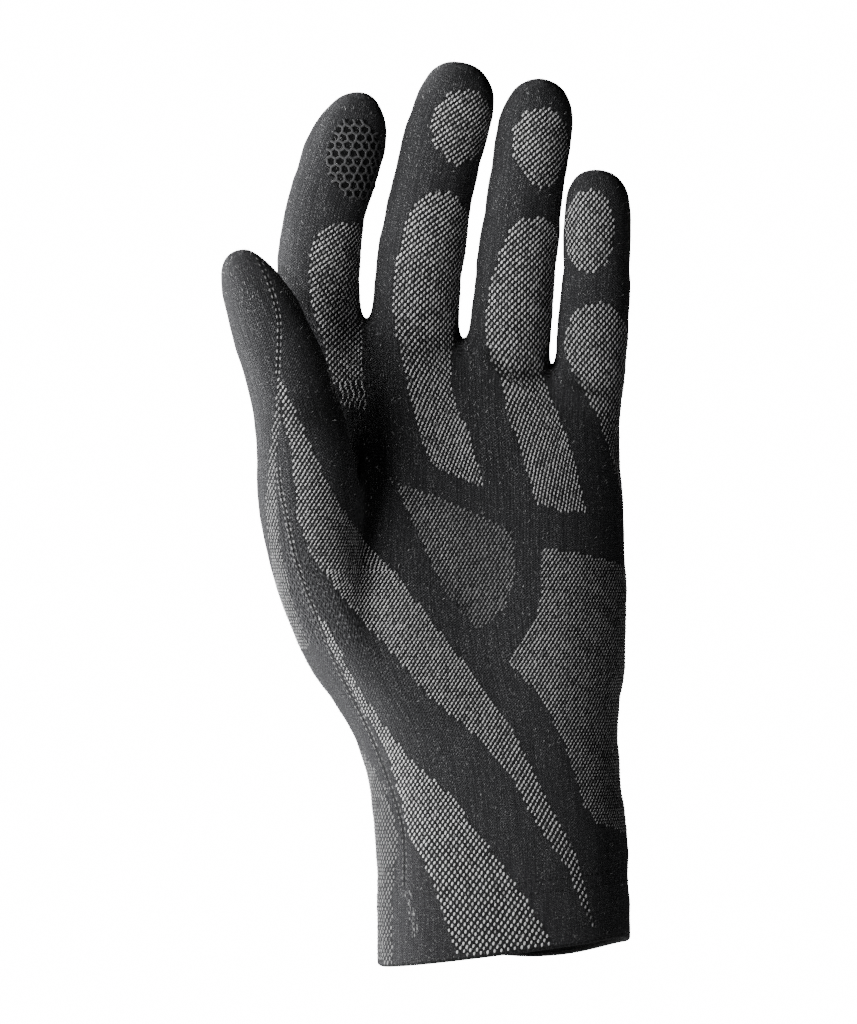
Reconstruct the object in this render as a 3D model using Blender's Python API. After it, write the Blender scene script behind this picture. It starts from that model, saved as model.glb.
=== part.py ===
"""A left-hand knitted glove liner, held open in the form of the hand that it is worn on.

Metres, +Z up. The origin is the middle of the cuff's mouth, +Z runs to the fingertips, the palm
faces -Y and the thumb is on the -X side. One cage of four-sided faces describes the outside of
the cloth: a tube of sections for the cuff and palm, with the fingers and the thumb drawn out of
it. It is subdivided, then each piece takes its own faces of it and is given its wall.
"""

import math
from collections import namedtuple

import bpy
from mathutils import Vector

# The cloth.
WALL = 0.0012
HEM_WALL = 0.0022
PIECE_GAP = 0.0003

# The cuff, from its mouth to the wrist. The back of the mouth hangs lower than its front.
CUFF_LENGTH = 0.053
CUFF_WIDTH = 0.0705
CUFF_DEPTH = 0.049
HEM_HEIGHT = 0.0195
MOUTH_DROP = 0.005

# The palm, from the wrist to the web between the middle and ring fingers.
PALM_LENGTH = 0.117
PALM_DEPTH = 0.034
THENAR_RISE = 0.007
HYPOTHENAR_RISE = 0.004
WEB_WIDTH = 0.0022
WEB_DROP = 0.006
WEB_SHARES = (1.1, 1.3, 0.6)

# The fingers: width at the root, and length from the root to the tip.
INDEX_WIDTH = 0.0235
MIDDLE_WIDTH = 0.0244
RING_WIDTH = 0.0226
LITTLE_WIDTH = 0.0198
INDEX_LENGTH = 0.0666
MIDDLE_LENGTH = 0.0736
RING_LENGTH = 0.0746
LITTLE_LENGTH = 0.0556
FINGER_DEPTH_SHARE = 0.92

# The thumb: its width, its thickness and its reach above the middle of its hole.
THUMB_WIDTH = 0.0235
THUMB_DEPTH = 0.0225
THUMB_REACH = 0.086

# Sections of the cuff and palm. The level is a share of the cuff's length up to the wrist, and of
# the palm's length past it; the width is a share of the cuff's width or of the palm's breadth, and
# the shift a share of the same; front and back are shares of the cuff's or the palm's depth.
Section = namedtuple("Section", "part level width shift slope front back thenar hypothenar")
SECTIONS = (
    Section("hem", 0.00, 1.02, 0.000, 7.2, 0.50, 0.50, 0.0, 0.0),
    Section("hem", 1.00, 1.01, -0.003, 6.4, 0.50, 0.49, 0.0, 0.0),
    Section("cuff", 0.65, 1.01, -0.012, 4.4, 0.48, 0.47, 0.0, 0.0),
    Section("cuff", 1.00, 1.01, -0.050, 2.9, 0.46, 0.46, 0.0, 0.0),
    Section("palm", 0.11, 0.80, -0.058, 2.3, 0.62, 0.62, 0.3, 0.3),
    Section("palm", 0.25, 0.98, -0.125, 0.0, 0.58, 0.58, 1.0, 1.0),
    Section("palm", 0.45, 1.01, -0.143, -2.6, 0.52, 0.55, 1.0, 1.0),
    Section("palm", 0.70, 0.95, -0.125, -5.0, 0.48, 0.53, 0.3, 0.6),
    Section("palm", 0.84, 0.97, -0.150, -6.0, 0.46, 0.50, 0.0, 0.2),
)
THUMB_HOLE_SECTIONS = (5, 6, 7)

# Heights of the finger boundaries from the radial side to the ulnar side, as shares of the palm.
WEB_LEVELS = (0.985, 1.064, 1.016, 0.956, 0.900)

# Rings along a finger: shares of its length, width and depth, and a shift to the ulnar side as a
# share of its width. The index finger narrows to a blunt point.
Ring = namedtuple("Ring", "along width depth shift")
FINGER_RINGS = (
    Ring(0.11, 1.00, 1.00, 0.0),
    Ring(0.29, 1.00, 0.97, 0.0),
    Ring(0.47, 0.95, 0.91, 0.0),
    Ring(0.66, 0.93, 0.88, 0.0),
    Ring(0.82, 0.94, 0.84, 0.0),
    Ring(0.925, 0.82, 0.74, 0.0),
    Ring(0.985, 0.47, 0.45, 0.0),
)
INDEX_RINGS = (
    Ring(0.11, 1.00, 1.00, 0.0),
    Ring(0.29, 1.00, 0.97, 0.0),
    Ring(0.47, 0.95, 0.91, 0.0),
    Ring(0.66, 0.97, 0.90, 0.045),
    Ring(0.82, 0.93, 0.84, 0.065),
    Ring(0.925, 0.71, 0.68, 0.040),
    Ring(0.985, 0.36, 0.38, 0.030),
)
TIP_LIFT = 1.012

# The fingers. The lean is in degrees to the ulnar side, the bow a share of the width, and the curl
# a share of the length, to the palm side.
Finger = namedtuple("Finger", "name width length lean bow curl rings")
FINGERS = (
    Finger("index_stall", INDEX_WIDTH, INDEX_LENGTH, 10.4, -0.21, 0.10, INDEX_RINGS),
    Finger("middle_stall", MIDDLE_WIDTH, MIDDLE_LENGTH, 11.9, -0.12, 0.11, FINGER_RINGS),
    Finger("ring_stall", RING_WIDTH, RING_LENGTH, 7.5, -0.05, 0.12, FINGER_RINGS),
    Finger("little_stall", LITTLE_WIDTH, LITTLE_LENGTH, 2.0, 0.05, 0.13, FINGER_RINGS),
)


# Rings along the thumb: the middle is up, out to the thumb's side and forward of the middle of the
# hole, in shares of the reach; width and depth are shares of the thumb's own.
ThumbRing = namedtuple("ThumbRing", "up out forward width depth")
THUMB_RINGS = (
    ThumbRing(0.15, 0.040, 0.150, 1.30, 1.32),
    ThumbRing(0.35, 0.050, 0.220, 1.10, 1.16),
    ThumbRing(0.53, 0.092, 0.265, 0.98, 1.04),
    ThumbRing(0.68, 0.142, 0.295, 0.92, 0.98),
    ThumbRing(0.81, 0.198, 0.315, 0.80, 0.88),
    ThumbRing(0.91, 0.245, 0.325, 0.58, 0.66),
    ThumbRing(0.96, 0.268, 0.33, 0.30, 0.36),
)
# The ring at which the palm's knit ends and the thumb's stall begins.
THUMB_STALL_RING = 1
THUMB_TIP = ThumbRing(0.975, 0.272, 0.332, 0.0, 0.0)

# The points round a finger and round the thumb.
FINGER_POINTS = 8
THUMB_POINTS = 10
SECTION_SQUARENESS = 2.3
SUBDIVISIONS = 1

PIECES = ("palm", "index_stall", "middle_stall", "ring_stall", "little_stall", "thumb_stall",
          "wrist_cuff", "cuff_hem")


def clear_scene():
    for item in list(bpy.data.objects):
        bpy.data.objects.remove(item, do_unlink=True)


def finger_roots():
    """The left and right boundary of each finger across the palm, from the palm's middle."""
    breadth = sum(finger.width for finger in FINGERS) + WEB_WIDTH * sum(WEB_SHARES)
    left = -breadth / 2.0
    spans = []
    for finger, share in zip(FINGERS, WEB_SHARES + (0.0,)):
        spans.append((left, left + finger.width))
        left += finger.width + WEB_WIDTH * share
    return breadth, spans


def bump(place, middle, reach):
    """A smooth hump of height one."""
    gone = (place - middle) / reach
    return max(0.0, 1.0 - gone * gone) ** 1.5


def section_ring(section, columns, breadth):
    """The points of one section: the front from thumb to little finger, then back round."""
    if section.part == "hem":
        level = HEM_HEIGHT * section.level
    elif section.part == "cuff":
        level = CUFF_LENGTH * section.level
    else:
        level = CUFF_LENGTH + PALM_LENGTH * section.level
    in_palm = section.part == "palm"
    whole_width = breadth if in_palm else CUFF_WIDTH
    whole_depth = PALM_DEPTH if in_palm else CUFF_DEPTH
    half = whole_width * section.width / 2.0
    middle = whole_width * section.shift
    rise = math.tan(math.radians(section.slope))

    def point(place, side):
        swell = max(0.0, 1.0 - abs(place) ** SECTION_SQUARENESS) ** (1.0 / SECTION_SQUARENESS)
        if side < 0.0:
            deep = whole_depth * section.front
            deep += THENAR_RISE * section.thenar * bump(place, -0.55, 0.75)
            deep += HYPOTHENAR_RISE * section.hypothenar * bump(place, 0.6, 0.6)
        else:
            deep = whole_depth * section.back
        across = middle + half * place
        height = level + (across - middle) * rise
        if side > 0.0 and section.part == "hem":
            height -= MOUTH_DROP * (1.0 - section.level) * bump(place, 0.45, 0.85)
        return Vector((across, side * deep * swell, height))

    front = [point(place, -1.0) for place in columns]
    back = [point(place, 1.0) for place in reversed(columns)]
    return front + [point(1.0, 1.0)] + back + [point(-1.0, 1.0)]


def spread(count):
    """How much wider than its smooth ring a control ring of so many points is."""
    return 6.0 / (4.0 + 2.0 * math.cos(2.0 * math.pi / count))


def control_ring(count, middle, across, deep, half_across, half_deep):
    """Points round a middle, from the one after the left side, anticlockwise, to the left side."""
    points = []
    for step in range(count):
        angle = math.pi + 2.0 * math.pi * (step + 1) / count
        offset = across * (half_across * spread(count) * math.cos(angle))
        offset += deep * (half_deep * spread(count) * math.sin(angle))
        points.append(middle + offset)
    return points


def directions(middles):
    """The way that a line of middles runs at each of them."""
    ways = []
    for index in range(len(middles)):
        before = middles[max(index - 1, 0)]
        after = middles[min(index + 1, len(middles) - 1)]
        ways.append((after - before).normalized())
    return ways


class Cage:
    """Vertices, faces and the piece that each face belongs to."""

    def __init__(self):
        self.points = []
        self.faces = []
        self.owners = []

    def add_points(self, points):
        start = len(self.points)
        self.points.extend(points)
        return list(range(start, start + len(points)))

    def add_face(self, corners, owner):
        self.faces.append(tuple(corners))
        self.owners.append(PIECES.index(owner))

    def join_rings(self, lower, upper, owner):
        count = len(lower)
        for index in range(count):
            after = (index + 1) % count
            self.add_face((lower[index], lower[after], upper[after], upper[index]), owner)

    def close_ring(self, ring, tip, owner):
        for corner in range(0, len(ring), 2):
            self.add_face((tip, ring[corner - 1], ring[corner], ring[corner + 1]), owner)


def add_finger(cage, finger, root, loop):
    """A stall: its rings along a leaning, bowed and curled line, closed at the tip."""
    lean = math.tan(math.radians(finger.lean))
    upright = finger.length / math.sqrt(1.0 + lean * lean)

    def line(along):
        sideways = lean * upright * along + finger.bow * finger.width * 4.0 * along * (1.0 - along)
        forward = finger.curl * finger.length * max(along, 0.0) ** 1.6
        return root + Vector((sideways, -forward, upright * along))

    middles = [line(ring.along) + Vector((ring.shift * finger.width, 0.0, 0.0))
               for ring in finger.rings]
    ways = directions([root] + middles + [line(TIP_LIFT)])[1:-1]
    lower = loop
    for ring, middle, way in zip(finger.rings, middles, ways):
        across = (Vector((1.0, 0.0, 0.0)) - way * way.x).normalized()
        deep = way.cross(across)
        half_deep = finger.width * FINGER_DEPTH_SHARE * ring.depth / 2.0
        half_across = finger.width * ring.width / 2.0
        upper = cage.add_points(control_ring(FINGER_POINTS, middle, across, deep, half_across,
                                             half_deep))
        cage.join_rings(lower, upper, finger.name)
        lower = upper
    tip_shift = Vector((finger.rings[-1].shift * finger.width, 0.0, 0.0))
    tip = cage.add_points([line(TIP_LIFT) + tip_shift])[0]
    cage.close_ring(lower, tip, finger.name)


def add_thumb(cage, hole):
    """The thumb's tube, drawn out of the side of the palm."""
    start = sum((cage.points[index] for index in hole), Vector()) / len(hole)

    def middle_of(ring):
        return start + Vector((-ring.out, -ring.forward, ring.up)) * THUMB_REACH

    middles = [middle_of(ring) for ring in THUMB_RINGS]
    ways = directions([start] + middles + [middle_of(THUMB_TIP)])[1:-1]
    lower = hole
    for number, (ring, middle, way) in enumerate(zip(THUMB_RINGS, middles, ways)):
        front = Vector((1.0, -1.0, 0.0)).normalized()
        front = (front - way * way.dot(front)).normalized()
        inward = way.cross(front)
        half_front = THUMB_DEPTH * ring.depth / 2.0
        half_inward = THUMB_WIDTH * ring.width / 2.0
        upper = cage.add_points(control_ring(THUMB_POINTS, middle, front, inward, half_front,
                                             half_inward))
        cage.join_rings(lower, upper, "palm" if number <= THUMB_STALL_RING else "thumb_stall")
        lower = upper
    tip = cage.add_points([middle_of(THUMB_TIP)])[0]
    cage.close_ring(lower, tip, "thumb_stall")


def make_cage():
    """The whole outside of the glove in coarse four-sided faces."""
    cage = Cage()
    breadth, spans = finger_roots()
    columns = []
    for left, right in spans:
        middle = (left + right) / 2.0
        reach = (right - left) / 2.0 * spread(FINGER_POINTS) * math.cos(math.pi / 4.0)
        columns.extend((place / (breadth / 2.0) for place in (middle - reach, middle, middle + reach)))
    rings = [cage.add_points(section_ring(section, columns, breadth)) for section in SECTIONS]
    count = len(rings[0])

    # The root row, a loop of eight for each finger.
    last = SECTIONS[-1]
    shift = breadth * last.shift
    levels = [CUFF_LENGTH + PALM_LENGTH * level for level in WEB_LEVELS]
    loops = []
    roots = []
    for index, (finger, (left, right)) in enumerate(zip(FINGERS, spans)):
        middle = shift + (left + right) / 2.0
        half = finger.width / 2.0 * spread(FINGER_POINTS)
        corner = half * math.cos(math.pi / 4.0)
        deep = finger.width * FINGER_DEPTH_SHARE / 2.0 * spread(FINGER_POINTS)
        corner_deep = deep * math.cos(math.pi / 4.0)
        near = levels[index]
        far = levels[index + 1]
        mean = (near + far) / 2.0
        loop = (
            Vector((middle - corner, -corner_deep, near - WEB_DROP)),
            Vector((middle, -deep, mean - WEB_DROP)),
            Vector((middle + corner, -corner_deep, far - WEB_DROP)),
            Vector((middle + half, 0.0, far)),
            Vector((middle + corner, corner_deep, far - WEB_DROP)),
            Vector((middle, deep, mean - WEB_DROP)),
            Vector((middle - corner, corner_deep, near - WEB_DROP)),
            Vector((middle - half, 0.0, near)),
        )
        loops.append(cage.add_points(loop))
        roots.append(Vector((middle, 0.0, mean)))
    front = [loop[place] for loop in loops for place in (0, 1, 2)]
    back = [loop[place] for loop in reversed(loops) for place in (4, 5, 6)]
    top = front + [loops[-1][3]] + back + [loops[0][7]]
    rings.append(top)

    # The tube of sections, open where the thumb joins.
    hole_low, hole_mid, hole_high = THUMB_HOLE_SECTIONS
    for row in range(len(rings) - 1):
        owner = "palm"
        if row < 1:
            owner = "cuff_hem"
        elif row < 3:
            owner = "wrist_cuff"
        for index in range(count):
            if row in (hole_low, hole_mid) and index in (count - 1, 0, 1):
                continue
            after = (index + 1) % count
            lower = rings[row]
            upper = rings[row + 1]
            cage.add_face((lower[index], lower[after], upper[after], upper[index]), owner)

    # The webs between the fingers.
    for near, far in zip(loops[:-1], loops[1:]):
        cage.add_face((near[2], far[0], far[7], near[3]), "palm")
        cage.add_face((near[3], far[7], far[6], near[4]), "palm")

    for finger, root, loop in zip(FINGERS, roots, loops):
        add_finger(cage, finger, root, loop)

    side = count - 1
    low = rings[hole_low]
    high = rings[hole_high]
    hole = [low[side], low[0], low[1], low[2], rings[hole_mid][2], high[2], high[1], high[0],
            high[side], rings[hole_mid][side]]
    add_thumb(cage, hole)
    return cage


def smooth_surface(cage):
    """The cage subdivided on to its smooth surface, as points, normals, faces and owners."""
    mesh = bpy.data.meshes.new("cage")
    mesh.from_pydata([tuple(point) for point in cage.points], [], cage.faces)
    for name in PIECES:
        mesh.materials.append(bpy.data.materials.new("cage_" + name))
    mesh.polygons.foreach_set("material_index", cage.owners)
    guide = bpy.data.objects.new("cage", mesh)
    bpy.context.scene.collection.objects.link(guide)
    smoother = guide.modifiers.new("smooth", "SUBSURF")
    smoother.levels = SUBDIVISIONS
    smoother.render_levels = SUBDIVISIONS
    smoother.quality = 5
    smoother.boundary_smooth = "ALL"
    shape = guide.evaluated_get(bpy.context.evaluated_depsgraph_get()).to_mesh()
    points = [vertex.co.copy() for vertex in shape.vertices]
    normals = [vertex.normal.copy() for vertex in shape.vertices]
    faces = [tuple(face.vertices) for face in shape.polygons]
    owners = [face.material_index for face in shape.polygons]
    bpy.data.objects.remove(guide, do_unlink=True)
    return points, normals, faces, owners


def add_piece(name, points, normals, faces, wall, colour):
    """One piece with an outer wall, an inner wall and rims, its border pulled back by half a gap.

    The rims of two neighbours are split the same way, so that they stay parallel.
    """
    used = sorted({corner for face in faces for corner in face})
    place = {corner: index for index, corner in enumerate(used)}
    outer = [points[corner].copy() for corner in used]
    normal = [normals[corner] for corner in used]
    sides = {}
    for face in faces:
        for start, end in zip(face, face[1:] + face[:1]):
            sides[(place[start], place[end])] = True
    border = [pair for pair in sides if (pair[1], pair[0]) not in sides]
    on_border = {corner for pair in border for corner in pair}

    pull = {corner: Vector() for corner in on_border}
    for start, end in sides:
        if start in on_border and end not in on_border:
            pull[start] += (points[used[end]] - points[used[start]]).normalized()
        if end in on_border and start not in on_border:
            pull[end] += (points[used[start]] - points[used[end]]).normalized()
    for corner, way in pull.items():
        if way.length > 0.0:
            outer[corner] += way.normalized() * (PIECE_GAP / 2.0)

    count = len(outer)
    inner = [point - way * wall for point, way in zip(outer, normal)]
    shell = [tuple(place[corner] for corner in face) for face in faces]
    shell += [tuple(place[corner] + count for corner in reversed(face)) for face in faces]
    smooth = [True] * len(shell)
    for start, end in border:
        if used[start] < used[end]:
            shell.append((end, start, end + count))
            shell.append((start, start + count, end + count))
        else:
            shell.append((end, start, start + count))
            shell.append((end, start + count, end + count))
        smooth.extend((False, False))

    mesh = bpy.data.meshes.new(name)
    mesh.from_pydata([tuple(point) for point in outer + inner], [], shell)
    mesh.polygons.foreach_set("use_smooth", smooth)
    edges = {tuple(sorted(pair)) for pair in border}
    edges |= {tuple(sorted((start + count, end + count))) for start, end in border}
    for edge in mesh.edges:
        edge.use_edge_sharp = tuple(sorted(edge.vertices)) in edges
    mesh.update()
    piece = bpy.data.objects.new(name, mesh)
    bpy.context.scene.collection.objects.link(piece)

    knit = bpy.data.materials.new(name + "_knit")
    knit.use_nodes = True
    shader = knit.node_tree.nodes["Principled BSDF"]
    shader.inputs["Base Color"].default_value = (colour[0], colour[1], colour[2], 1.0)
    shader.inputs["Roughness"].default_value = 0.9
    mesh.materials.append(knit)
    return piece


# Charcoal knit, a shade apart so that the pieces can be told apart.
COLOURS = {
    "palm": (0.045, 0.045, 0.047),
    "index_stall": (0.055, 0.055, 0.058),
    "middle_stall": (0.045, 0.046, 0.050),
    "ring_stall": (0.055, 0.055, 0.058),
    "little_stall": (0.045, 0.046, 0.050),
    "thumb_stall": (0.055, 0.055, 0.058),
    "wrist_cuff": (0.050, 0.050, 0.053),
    "cuff_hem": (0.038, 0.038, 0.041),
}

clear_scene()
surface_points, surface_normals, surface_faces, surface_owners = smooth_surface(make_cage())
for number, piece_name in enumerate(PIECES):
    own = [face for face, owner in zip(surface_faces, surface_owners) if owner == number]
    thick = HEM_WALL if piece_name == "cuff_hem" else WALL
    add_piece(piece_name, surface_points, surface_normals, own, thick, COLOURS[piece_name])
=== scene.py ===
"""A left-hand knitted glove liner, upright as on the hand, with its palm to the camera.

The knitting machine makes it in one piece: a turned and stitched hem, a plain cuff, the tube of
the palm, four finger stalls and a thumb stall. Metres, +Z up, the palm facing -Y.
"""

import math
from collections import namedtuple

import bpy
import numpy as np
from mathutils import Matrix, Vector
from mathutils.bvhtree import BVHTree


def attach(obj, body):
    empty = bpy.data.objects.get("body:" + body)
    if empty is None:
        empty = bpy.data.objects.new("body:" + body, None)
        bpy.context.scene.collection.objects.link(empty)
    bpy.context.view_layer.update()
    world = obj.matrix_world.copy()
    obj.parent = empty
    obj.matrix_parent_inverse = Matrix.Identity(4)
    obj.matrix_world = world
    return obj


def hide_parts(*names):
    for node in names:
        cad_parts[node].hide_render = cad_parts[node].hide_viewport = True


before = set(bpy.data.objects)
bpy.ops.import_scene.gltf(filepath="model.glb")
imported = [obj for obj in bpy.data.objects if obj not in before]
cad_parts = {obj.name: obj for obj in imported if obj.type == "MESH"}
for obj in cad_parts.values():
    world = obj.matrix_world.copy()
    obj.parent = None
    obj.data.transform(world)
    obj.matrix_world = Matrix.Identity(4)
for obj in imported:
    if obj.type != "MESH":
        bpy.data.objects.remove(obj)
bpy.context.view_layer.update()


# The form that the knit takes on the hand.
# The glove is one fine-gauge tube of charcoal yarn that the machine widens, narrows and parts into
# stalls. Its form is drawn here as one cage of four-sided faces, smoothed, which every piece below
# takes its own part of.
HEM_HEIGHT = 0.0195
MOUTH_DROP = 0.005
CUFF_LENGTH = 0.053
CUFF_WIDTH = 0.0705
CUFF_DEPTH = 0.049
PALM_LENGTH = 0.117
PALM_DEPTH = 0.034
THENAR_RISE = 0.007
HYPOTHENAR_RISE = 0.004
WEB_WIDTH = 0.0022
WEB_DROP = 0.006
WEB_SHARES = (1.1, 1.3, 0.6)
FINGER_DEPTH_SHARE = 0.92
THUMB_WIDTH = 0.0235
THUMB_DEPTH = 0.0225
THUMB_REACH = 0.086

# Levels are shares of the hem's height, of the cuff up to the wrist or of the palm past it. Widths
# and shifts are shares of the cuff's width or the palm's breadth, and front and back of the depth.
Section = namedtuple("Section", "part level width shift slope front back thenar hypothenar")
SECTIONS = (
    Section("hem", 0.00, 1.02, 0.000, 7.2, 0.50, 0.50, 0.0, 0.0),
    Section("hem", 1.00, 1.01, -0.003, 6.4, 0.50, 0.49, 0.0, 0.0),
    Section("cuff", 0.65, 1.01, -0.012, 4.4, 0.48, 0.47, 0.0, 0.0),
    Section("cuff", 1.00, 1.01, -0.050, 2.9, 0.46, 0.46, 0.0, 0.0),
    Section("palm", 0.11, 0.80, -0.058, 2.3, 0.62, 0.62, 0.3, 0.3),
    Section("palm", 0.25, 0.98, -0.125, 0.0, 0.58, 0.58, 1.0, 1.0),
    Section("palm", 0.45, 1.01, -0.143, -2.6, 0.52, 0.55, 1.0, 1.0),
    Section("palm", 0.70, 0.95, -0.125, -5.0, 0.48, 0.53, 0.3, 0.6),
    Section("palm", 0.84, 0.97, -0.150, -6.0, 0.46, 0.50, 0.0, 0.2),
)
THUMB_HOLE_SECTIONS = (5, 6, 7)
SECTION_SQUARENESS = 2.3

# Heights of the finger boundaries, from the thumb's side to the little finger's.
WEB_LEVELS = (0.985, 1.064, 1.016, 0.956, 0.900)

# Rings along a finger, in shares of its length, width and depth. The index finger narrows to a
# blunt point.
Ring = namedtuple("Ring", "along width depth shift")
FINGER_RINGS = (
    Ring(0.11, 1.00, 1.00, 0.0),
    Ring(0.29, 1.00, 0.97, 0.0),
    Ring(0.47, 0.95, 0.91, 0.0),
    Ring(0.66, 0.93, 0.88, 0.0),
    Ring(0.82, 0.94, 0.84, 0.0),
    Ring(0.925, 0.82, 0.74, 0.0),
    Ring(0.985, 0.47, 0.45, 0.0),
)
INDEX_RINGS = FINGER_RINGS[:3] + (
    Ring(0.66, 0.97, 0.90, 0.045),
    Ring(0.82, 0.93, 0.84, 0.065),
    Ring(0.925, 0.71, 0.68, 0.040),
    Ring(0.985, 0.36, 0.38, 0.030),
)
TIP_LIFT = 1.012
# The lean is in degrees, the bow a share of the width and the curl a share of the length.
Finger = namedtuple("Finger", "name width length lean bow curl rings")
FINGERS = (
    Finger("index_stall", 0.0235, 0.0666, 10.4, -0.21, 0.10, INDEX_RINGS),
    Finger("middle_stall", 0.0244, 0.0736, 11.9, -0.12, 0.11, FINGER_RINGS),
    Finger("ring_stall", 0.0226, 0.0746, 7.5, -0.05, 0.12, FINGER_RINGS),
    Finger("little_stall", 0.0198, 0.0556, 2.0, 0.05, 0.13, FINGER_RINGS),
)

# The thumb's rings: up, out and forward of the middle of its hole, in shares of its reach.
ThumbRing = namedtuple("ThumbRing", "up out forward width depth")
THUMB_RINGS = (
    ThumbRing(0.15, 0.040, 0.150, 1.30, 1.32),
    ThumbRing(0.35, 0.050, 0.220, 1.10, 1.16),
    ThumbRing(0.53, 0.092, 0.265, 0.98, 1.04),
    ThumbRing(0.68, 0.142, 0.295, 0.92, 0.98),
    ThumbRing(0.81, 0.198, 0.315, 0.80, 0.88),
    ThumbRing(0.91, 0.245, 0.325, 0.58, 0.66),
    ThumbRing(0.96, 0.268, 0.33, 0.30, 0.36),
)
THUMB_STALL_RING = 1
THUMB_TIP = ThumbRing(0.975, 0.272, 0.332, 0.0, 0.0)
FINGER_POINTS = 8
THUMB_POINTS = 10

PIECES = ("palm", "index_stall", "middle_stall", "ring_stall", "little_stall", "thumb_stall",
          "wrist_cuff", "cuff_hem")


def finger_roots():
    """The left and right boundary of each finger across the palm, from the palm's middle."""
    breadth = sum(finger.width for finger in FINGERS) + WEB_WIDTH * sum(WEB_SHARES)
    left = -breadth / 2.0
    spans = []
    for finger, share in zip(FINGERS, WEB_SHARES + (0.0,)):
        spans.append((left, left + finger.width))
        left += finger.width + WEB_WIDTH * share
    return breadth, spans


def bump(place, middle, reach):
    """A smooth hump of height one."""
    gone = (place - middle) / reach
    return max(0.0, 1.0 - gone * gone) ** 1.5


def section_ring(section, columns, breadth):
    """The points of one section: the front from thumb to little finger, then back round."""
    if section.part == "hem":
        level = HEM_HEIGHT * section.level
    elif section.part == "cuff":
        level = CUFF_LENGTH * section.level
    else:
        level = CUFF_LENGTH + PALM_LENGTH * section.level
    in_palm = section.part == "palm"
    whole_width = breadth if in_palm else CUFF_WIDTH
    whole_depth = PALM_DEPTH if in_palm else CUFF_DEPTH
    half = whole_width * section.width / 2.0
    middle = whole_width * section.shift
    rise = math.tan(math.radians(section.slope))

    def point(place, side):
        swell = max(0.0, 1.0 - abs(place) ** SECTION_SQUARENESS) ** (1.0 / SECTION_SQUARENESS)
        if side < 0.0:
            deep = whole_depth * section.front
            deep += THENAR_RISE * section.thenar * bump(place, -0.55, 0.75)
            deep += HYPOTHENAR_RISE * section.hypothenar * bump(place, 0.6, 0.6)
        else:
            deep = whole_depth * section.back
        across = middle + half * place
        height = level + (across - middle) * rise
        if side > 0.0 and section.part == "hem":
            height -= MOUTH_DROP * (1.0 - section.level) * bump(place, 0.45, 0.85)
        return Vector((across, side * deep * swell, height))

    front = [point(place, -1.0) for place in columns]
    back = [point(place, 1.0) for place in reversed(columns)]
    return front + [point(1.0, 1.0)] + back + [point(-1.0, 1.0)]


def spread(count):
    """How much wider than its smooth ring a control ring of so many points is."""
    return 6.0 / (4.0 + 2.0 * math.cos(2.0 * math.pi / count))


def control_ring(count, middle, across, deep, half_across, half_deep):
    """Points round a middle, from the one after the left side, anticlockwise, to the left side."""
    points = []
    for step in range(count):
        angle = math.pi + 2.0 * math.pi * (step + 1) / count
        offset = across * (half_across * spread(count) * math.cos(angle))
        offset += deep * (half_deep * spread(count) * math.sin(angle))
        points.append(middle + offset)
    return points


def directions(middles):
    """The way that a line of middles runs at each of them."""
    ways = []
    for index in range(len(middles)):
        before = middles[max(index - 1, 0)]
        after = middles[min(index + 1, len(middles) - 1)]
        ways.append((after - before).normalized())
    return ways


class Cage:
    """Vertices, faces, the piece that each face belongs to and its place in the knit in metres."""

    def __init__(self):
        self.points = []
        self.faces = []
        self.owners = []
        self.charts = []

    def add_points(self, points):
        start = len(self.points)
        self.points.extend(points)
        return list(range(start, start + len(points)))

    def add_face(self, corners, owner, chart):
        self.faces.append(tuple(corners))
        self.owners.append(PIECES.index(owner))
        self.charts.append(chart)

    def join_rings(self, lower, upper, owner, girth, foot, head):
        count = len(lower)
        step = girth / count
        for index in range(count):
            after = (index + 1) % count
            chart = ((index * step, foot), ((index + 1) * step, foot), ((index + 1) * step, head),
                     (index * step, head))
            self.add_face((lower[index], lower[after], upper[after], upper[index]), owner, chart)

    def close_ring(self, ring, tip, owner, girth, foot, head):
        step = girth / len(ring)
        for corner in range(0, len(ring), 2):
            chart = ((corner * step, head), ((corner - 1) * step, foot), (corner * step, foot),
                     ((corner + 1) * step, foot))
            self.add_face((tip, ring[corner - 1], ring[corner], ring[corner + 1]), owner, chart)


def add_finger(cage, finger, root, loop):
    """A stall: its rings along a leaning, bowed and curled line, closed at the tip."""
    lean = math.tan(math.radians(finger.lean))
    upright = finger.length / math.sqrt(1.0 + lean * lean)
    girth = math.pi * finger.width * (1.0 + FINGER_DEPTH_SHARE) / 2.0

    def line(along):
        sideways = lean * upright * along + finger.bow * finger.width * 4.0 * along * (1.0 - along)
        forward = finger.curl * finger.length * max(along, 0.0) ** 1.6
        return root + Vector((sideways, -forward, upright * along))

    middles = [line(ring.along) + Vector((ring.shift * finger.width, 0.0, 0.0))
               for ring in finger.rings]
    ways = directions([root] + middles + [line(TIP_LIFT)])[1:-1]
    lower = loop
    foot = 0.0
    for ring, middle, way in zip(finger.rings, middles, ways):
        across = (Vector((1.0, 0.0, 0.0)) - way * way.x).normalized()
        deep = way.cross(across)
        half_deep = finger.width * FINGER_DEPTH_SHARE * ring.depth / 2.0
        half_across = finger.width * ring.width / 2.0
        upper = cage.add_points(control_ring(FINGER_POINTS, middle, across, deep, half_across,
                                             half_deep))
        cage.join_rings(lower, upper, finger.name, girth, foot, finger.length * ring.along)
        lower = upper
        foot = finger.length * ring.along
    tip_shift = Vector((finger.rings[-1].shift * finger.width, 0.0, 0.0))
    tip = cage.add_points([line(TIP_LIFT) + tip_shift])[0]
    cage.close_ring(lower, tip, finger.name, girth, foot, finger.length)


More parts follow.
